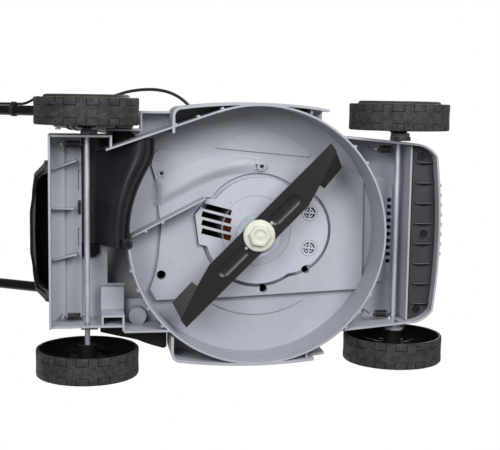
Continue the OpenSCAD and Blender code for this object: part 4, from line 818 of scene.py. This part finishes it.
def makePlugs():
    bm, slots = bmesh.new(), bmesh.new()
    face, radius, mouth, tall, spoke = (plug[k] for k in ("face", "radius", "mouth", "tall", "spoke"))
    floor = tall - plug["deep"]
    profile = [(plug["middle"], 0), (radius, 0), (radius, tall - 0.0007), (radius - 0.0006, tall),
               (mouth + 0.0006, tall), (mouth, tall - 0.0005), (mouth, floor), (plug["middle"], floor)]
    for x, y in plug["places"]:
        place = (x, y, face + plug["sink"])
        turnedDown(bm, place, profile, 48)
        turnedDown(bm, place, plug["dome"], 24)
        for k in range(4):
            quarter = plug["lean"] + 90 * k
            grid = Matrix.Translation((x, y, face)) @ Matrix.Rotation(math.radians(quarter), 4, "Z")
            addBlock(bm, (0.0018, -spoke, -0.0003), (mouth + 0.0003, spoke, 0.0026), grid)
            # dark arcs: painted shadow lines on the quarters' floor
            for out, half in plug["slots"]:
                turns = [math.radians(quarter + 45 + half * (step / 4 - 1)) for step in range(9)]
                arc = [Vector((x + out * math.cos(a), y + out * math.sin(a), face + plug["deep"] - 0.0006))
                       for a in turns]
                tubeAlong(slots, arc, plug["shadowArcWire"], 6)
    pieceFrom("quartered_plugs", bm, "mountGrey", "deck_body", "vent_plugs", 40)
    pieceFrom("plug_shadow_arcs", slots, "pegBlack", "deck_body", None, 60)


makePlugs()


# front insert: near-black mouths under each eyelid as painted shade, a thin light tube along each eyelid's top
# as a painted highlight, and a light ring round each screw as a painted glint
insert = {
    "x": 0.255, "z": 0.059, "pitch": 0.0307, "first": -0.1075, "radius": 0.03, "count": 8, "half": 0.0135,
    "slit": (0.0009, 0.0035), "thin": 0.0002, "rim": 0.0006, "highlightWire": 0.00045,
    "screws": [(0.248, -0.116), (0.256, 0.001), (0.248, 0.117)], "screwZ": 0.0622,
    "ring": [(0.0066, 0), (0.0066, 0.0014), (0.0072, 0.0022), (0.0079, 0.0022), (0.0084, 0.0014), (0.0084, 0),
             (0.0066, 0)],
}


def makeInsertMarks():
    dark, light = bmesh.new(), bmesh.new()
    x, z, radius, thin, rim = (insert[k] for k in ("x", "z", "radius", "thin", "rim"))
    inner, outer = (radius + wide for wide in insert["slit"])
    reach = math.acos(inner / outer)
    turns = [reach * (k / 8 - 1) for k in range(17)]
    for i in range(insert["count"]):
        chord = insert["first"] + i * insert["pitch"]
        outline = [(x + outer * math.sin(a), chord - radius + outer * math.cos(a)) for a in turns]
        closeEnds(dark, addStrip(dark, [[(u, v, w) for u, v in outline] for w in (z + thin, z - thin)]))
        path = [Vector((x + insert["half"] * (k / 6 - 1), chord + rim, z - rim * math.sin(math.pi * k / 12)))
                for k in range(13)]
        tubeAlong(light, path, insert["highlightWire"], 8)
    for u, v in insert["screws"]:
        turnedDown(light, (u, v, insert["screwZ"]), insert["ring"], 36)
    pieceFrom("eyelid_painted_shade", dark, "paintedShadeBlack", "deck_body", None, 40)
    pieceFrom("eyelid_painted_highlights", light, "paintedHighlightGrey", "deck_body", None, 40)


makeInsertMarks()
print("mower: nut, plugs and insert made")


# black plates over the rear axle's ends and beside the chute, where the plate paints the deep shade of the
# pocket, in millimetres, and a bracket in metres
platesAndBracket = {
    "z": (104.2, 106.8),
    "plates": [[(-285, -140.4), (-230.2, -140.4), (-230.2, -117.8), (-256.2, -111.5), (-268, -116.5)],
               [(-229.4, -140.4), (-207, -140.4), (-207, -131.4), (-229.4, -123)],
               [(-256, 18.4), (-229.6, 18.4), (-229.6, 33), (-236, 38), (-247, 39), (-256, 36)],
               [(-209.8, -147.5), (-183.5, -147.8), (-176.9, -140.0), (-211.2, -127.7)]],
    "bracket": [((-0.203, -0.1564, 0.107), (-0.1815, -0.139, 0.1095)),
                ((-0.203, -0.1564, 0.064), (-0.1815, -0.1548, 0.1095))],
}


def makePlatesAndBracket():
    bm = bmesh.new()
    for outline in platesAndBracket["plates"]:
        closeEnds(bm, addStrip(bm, [[Vector((x, y, z)) / 1000 for x, y in outline] for z in platesAndBracket["z"]]))
    pieceFrom("black_and_shade_plates", bm, "paintedShadeBlack", "deck_body", None, 30)
    bm = bmesh.new()
    for low, high in platesAndBracket["bracket"]:
        addBlock(bm, low, high)
    pieceFrom("wheel_bracket", bm, "deckGrey", "deck_body", None, 30)


makePlatesAndBracket()


# flange along the foot of the rear flap, wider at its slanted ends, in a lighter grey that paints the light on
# its lit face: half of each line as (y, x), in millimetres
flange = {
    "z": (98.3, 99.9), "lift": 0.9,
    "outer": [(-104.5, -303.6), (-103.5, -309), (-100, -310.5), (-86, -323.5), (-60, -327), (0, -329.3)],
    "inner": [(-88, -303.6), (-86.5, -306), (-83, -313), (-77, -318.5), (-60, -321.5), (0, -323.4)],
}


def mirrored(half):
    return [(x, y) for y, x in half] + [(x, -y) for y, x in reversed(half[:-1])]


def makeFlange():
    outer, inner = mirrored(flange["outer"]), mirrored(flange["inner"])
    low, high = flange["z"]
    bm = bmesh.new()
    rows = []
    for line, z in ((outer, low), (inner, low + flange["lift"]), (inner, high), (outer, high)):
        rows.append([bm.verts.new((x / 1000, y / 1000, z / 1000)) for x, y in line])
    for a, b in zip(rows, rows[1:] + rows[:1]):
        for k in range(len(a) - 1):
            bm.faces.new((a[k], a[k + 1], b[k + 1], b[k]))
    for k in (0, -1):
        bm.faces.new([row[k] for row in rows])
    pieceFrom("flap_flange", bm, "paintedHighlightGrey", "flap", None, 30)


makeFlange()


# spacer drums on the front axle, outside the deck's walls: x and both ends along y
drums = {"places": [(0.2185, -0.1505, -0.1415), (0.2185, 0.1415, 0.1505)], "z": 0.075, "radius": 0.0142,
         "bore": 0.0046, "edge": 0.0008}


def makeDrums():
    bm = bmesh.new()
    r, bore, edge = drums["radius"], drums["bore"], drums["edge"]
    for x, start, end in drums["places"]:
        made = len(bm.verts)
        addTurned(bm, [(bore, start), (r - edge, start), (r, start + edge), (r, end - edge), (r - edge, end),
                       (bore, end), (bore, start)], 48)
        bm.verts.ensure_lookup_table()
        for vert in bm.verts[made:]:
            vert.co += Vector((x, 0, drums["z"]))
    pieceFrom("spacer_drums", bm, "mountGrey", "front_axle_set", None, 40)


makeDrums()
print("mower: guards, flange and drums made")


# small things on the deck's underside, laid on its real surface
underside = {"start": 0.08, "panelStart": 0.03, "ceiling": 0.112}
deckTree = BVHTree.FromObject(nodes["deck"], bpy.context.evaluated_depsgraph_get())


def deckZ(x, y, start=underside["start"]):
    hit = deckTree.ray_cast(Vector((x, y, start)), Vector((0, 0, 1)))
    return hit[0].z if hit[0] else underside["ceiling"]


# soft swell above the baffle that falls away toward the mount; its spine is in millimetres
swell = {
    "spine": [(-170, -18), (-152, -28), (-128, -40), (-101, -54), (-74.5, -67.4), (-44, -78), (-12.5, -83.3),
              (23, -82.7)],
    "height": 0.0075, "sunk": 0.0004, "near": 0.017, "far": (0.056, 0.03), "ends": 0.22,
    "left": (-0.158, 0.03), "spineSteps": 5, "steps": 16,
}


def makeSwell():
    spine = smoothRoute([(x, y, 0) for x, y in swell["spine"]], swell["spineSteps"])
    near = swell["near"]
    bm = bmesh.new()
    rings = []
    for i, point in enumerate(spine):
        along = (spine[min(i + 1, len(spine) - 1)] - spine[max(i - 1, 0)]).normalized()
        out = Vector((along.y, -along.x, 0))
        share = i / (len(spine) - 1)
        fade = softStep(share / swell["ends"]) * softStep((1 - share) / swell["ends"])
        far = swell["far"][0] * (1 - share) + swell["far"][1] * share
        ring = []
        for k in range(swell["steps"] + 1):
            t = k / swell["steps"]
            away = near * t * 2 if t < 0.5 else near + (far - near) * (t * 2 - 1)
            rise = softStep(t * 2) if t < 0.5 else softStep(2 - t * 2)
            x, y = point.x + out.x * away, point.y + out.y * away
            rise *= softStep((x - swell["left"][0]) / swell["left"][1])
            ring.append((x, y, deckZ(x, y) + swell["sunk"] - swell["height"] * fade * rise))
        rings.append(ring)
    addStrip(bm, rings, False)
    bmesh.ops.recalc_face_normals(bm, faces=bm.faces)
    if sum(face.normal.z for face in bm.faces) > 0:
        bmesh.ops.reverse_faces(bm, faces=bm.faces)
    return pieceFrom("ceiling_swell", bm, "deckGrey", "deck_body", None, 60, closed=False)


swellPiece = makeSwell()
bpy.context.view_layer.update()
swellTree = BVHTree.FromObject(swellPiece, bpy.context.evaluated_depsgraph_get())


def ceilingZ(x, y):
    hit = swellTree.ray_cast(Vector((x, y, underside["start"])), Vector((0, 0, 1)))
    return min(deckZ(x, y), hit[0].z) if hit[0] else deckZ(x, y)


# rings that follow the ceiling, from (radius, drop) pairs
def laidRings(bm, x, y, profile):
    rings = []
    for radius, drop in profile:
        ring = [(x + u, y + v) for u, v in circle(radius, 40)]
        rings.append([(u, v, ceilingZ(u, v) - drop) for u, v in ring])
    return addStrip(bm, rings)


# latch and two thin slots along the rear panel, ejector marks, a screw hole whose black disc paints its shade,
# screw tips and the blade's pins
trifles = {
    "latch": (-0.2588, -0.0465, -0.0261),
    "slots": [(-0.2601, -0.0907, -0.0612), (-0.2605, -0.0049, 0.022)],
    "slotSize": (0.0004, 0.001, 0.003, 0.0008),
    "tips": [(-0.0343, -0.0439), (-0.0204, -0.0333)], "tipZ": 0.0983,
    "tip": [(0.0013, 0), (0.0013, 0.0008), (0.0008, 0.0013), (0.0001, 0.0014)],
    "pins": [(0.0184, -0.0184), (-0.0184, 0.0184)], "pinZ": 0.0446,
    "pin": [(0.0026, 0), (0.0026, 0.0016), (0.002, 0.0022), (0.0001, 0.0023)],
    "holes": [(-0.138, -0.0859)],
    "holeRing": [(0.0067, -0.0002), (0.0065, 0.0006), (0.0059, 0.0008), (0.0056, -0.0002), (0.0067, -0.0002)],
    "hole": [(0.0058, -0.0004), (0.0058, 0.0002), (0.0024, 0.0002), (0.0023, 0.0005), (0.0002, 0.0005)],
    "ejectors": [(-0.1439, -0.0977, 0.0085), (-0.112, 0.055, 0.007), (0.09, -0.105, 0.007),
                 (0.13, 0.05, 0.008)],
    "mark": [(0, -0.0002), (-0.0002, 0.0003), (-0.0006, 0.0003), (-0.0008, -0.0002), (0, -0.0002)],
}


def makeTrifles():
    black, grey, pins = bmesh.new(), bmesh.new(), bmesh.new()
    x, y0, y1 = trifles["latch"]
    z = deckZ(x, (y0 + y1) / 2, underside["panelStart"])
    addBlock(black, (x - 0.0018, y0, z - 0.003), (x + 0.0018, y1, z + 0.001))
    addBlock(black, (x - 0.0024, y0 + 0.004, z - 0.0042), (x + 0.0012, y1 - 0.004, z - 0.002))
    half, deep, foot, wide = trifles["slotSize"]
    for x, y0, y1 in trifles["slots"]:
        z = deckZ(x, (y0 + y1) / 2, underside["panelStart"])
        addBlock(black, (x - half, y0, z - half), (x + half, y1, z + deep))
        addBlock(black, (x - half, y0, z - half), (x + foot, y0 + wide, z + deep))
    for x, y in trifles["tips"]:
        closeEnds(grey, turnedDown(grey, (x, y, trifles["tipZ"]), trifles["tip"], 20))
    for x, y, radius in trifles["ejectors"]:
        laidRings(grey, x, y, [(radius + out, drop) for out, drop in trifles["mark"]])
    for x, y in trifles["holes"]:
        laidRings(grey, x, y, trifles["holeRing"])
        # the hole's inside is a black disc laid on the ceiling: painted shade
        closeEnds(black, laidRings(black, x, y, trifles["hole"]))
    for x, y in trifles["pins"]:
        closeEnds(pins, turnedDown(pins, (x, y, trifles["pinZ"]), trifles["pin"], 24))
    pieceFrom("panel_latch", black, "pegBlack", "deck_body", None, 40)
    pieceFrom("moulding_marks", grey, "mountGrey", "deck_body", None, 40)
    pieceFrom("blade_pins", pins, "carrierGrey", "rotor", None, 40)


makeTrifles()
print("mower: swell and small things made")


# floor, world and lamps
studio = {"floor": 9, "below": 0.0005, "grey": (0.86, 0.86, 0.86, 1), "rough": 0.9, "gloss": 0.2,
          "light": 0.24}


def makeFloor():
    bm = bmesh.new()
    bmesh.ops.create_grid(bm, x_segments=2, y_segments=2, size=studio["floor"])
    mesh = bpy.data.meshes.new("studioFloor")
    bm.to_mesh(mesh)
    bm.free()
    floor = bpy.data.objects.new("studioFloor", mesh)
    floor.location.z = -studio["below"]
    scene.collection.objects.link(floor)
    made, tree, shader = startFinish("paleFloor")
    shader.inputs["Base Color"].default_value = studio["grey"]
    shader.inputs["Roughness"].default_value = studio["rough"]
    clear = addNode(tree, "ShaderNodeBsdfTransparent").outputs["BSDF"]
    behind = addNode(tree, "ShaderNodeNewGeometry").outputs["Backfacing"]
    mix = addNode(tree, "ShaderNodeMixShader", {"Fac": behind, 1: shader.outputs["BSDF"], 2: clear})
    out = [node for node in tree.nodes if node.type == "OUTPUT_MATERIAL"][0]
    tree.links.new(mix.outputs["Shader"], out.inputs["Surface"])
    mesh.materials.append(made)
    floor.visible_shadow = False       # it is seen from above only, and stops no light from below
    floor.visible_diffuse = False
    floor.visible_glossy = False


# the camera sees a white world, gloss sees a fifth of it, and the object is lit by less
def makeWorld():
    world = bpy.data.worlds.new("studio")
    scene.world = world
    world.use_nodes = True
    tree = world.node_tree
    tree.nodes.clear()
    paths = addNode(tree, "ShaderNodeLightPath").outputs
    white = {0: paths["Is Camera Ray"], 1: paths["Is Transmission Ray"]}
    white = addNode(tree, "ShaderNodeMath", white, operation="MAXIMUM")
    glossy = {0: paths["Is Glossy Ray"], 1: studio["gloss"]}
    glossy = addNode(tree, "ShaderNodeMath", glossy, operation="MULTIPLY")
    both = addNode(tree, "ShaderNodeMath", {0: white.outputs[0], 1: glossy.outputs[0]}, operation="MAXIMUM")
    strength = spread(tree, both.outputs[0], studio["light"], 1.0, 0.0, 1.0)
    background = addNode(tree, "ShaderNodeBackground", {"Color": (1, 1, 1, 1), "Strength": strength})
    addNode(tree, "ShaderNodeOutputWorld", {"Surface": background.outputs["Background"]})


lamps = {
    "keyBelow": {"place": (0.85, -1.25, -1.7), "aim": (0, 0, 0.08), "size": 1.2, "power": 41},
    "fillBelow": {"place": (-1.05, -0.9, -1.85), "aim": (0, 0, 0.08), "size": 1.2, "power": 28},
    "keyAbove": {"place": (1.3, -1.5, 2.4), "aim": (-0.2, 0, 0.3), "size": 1.2, "power": 34},
    "fillAbove": {"place": (-1.8, 1.6, 2.0), "aim": (-0.2, 0, 0.3), "size": 2.2, "power": 16},
}


def makeLamp(name, facts):
    data = bpy.data.lights.new(name, "AREA")
    data.shape = "DISK"
    data.size = facts["size"]
    data.energy = facts["power"]
    lamp = bpy.data.objects.new(name, data)
    lamp.location = facts["place"]
    lamp.rotation_euler = (Vector(facts["aim"]) - lamp.location).to_track_quat("-Z", "Y").to_euler()
    scene.collection.objects.link(lamp)


makeFloor()
makeWorld()
for name, facts in lamps.items():
    makeLamp(name, facts)
print("mower: studio set")
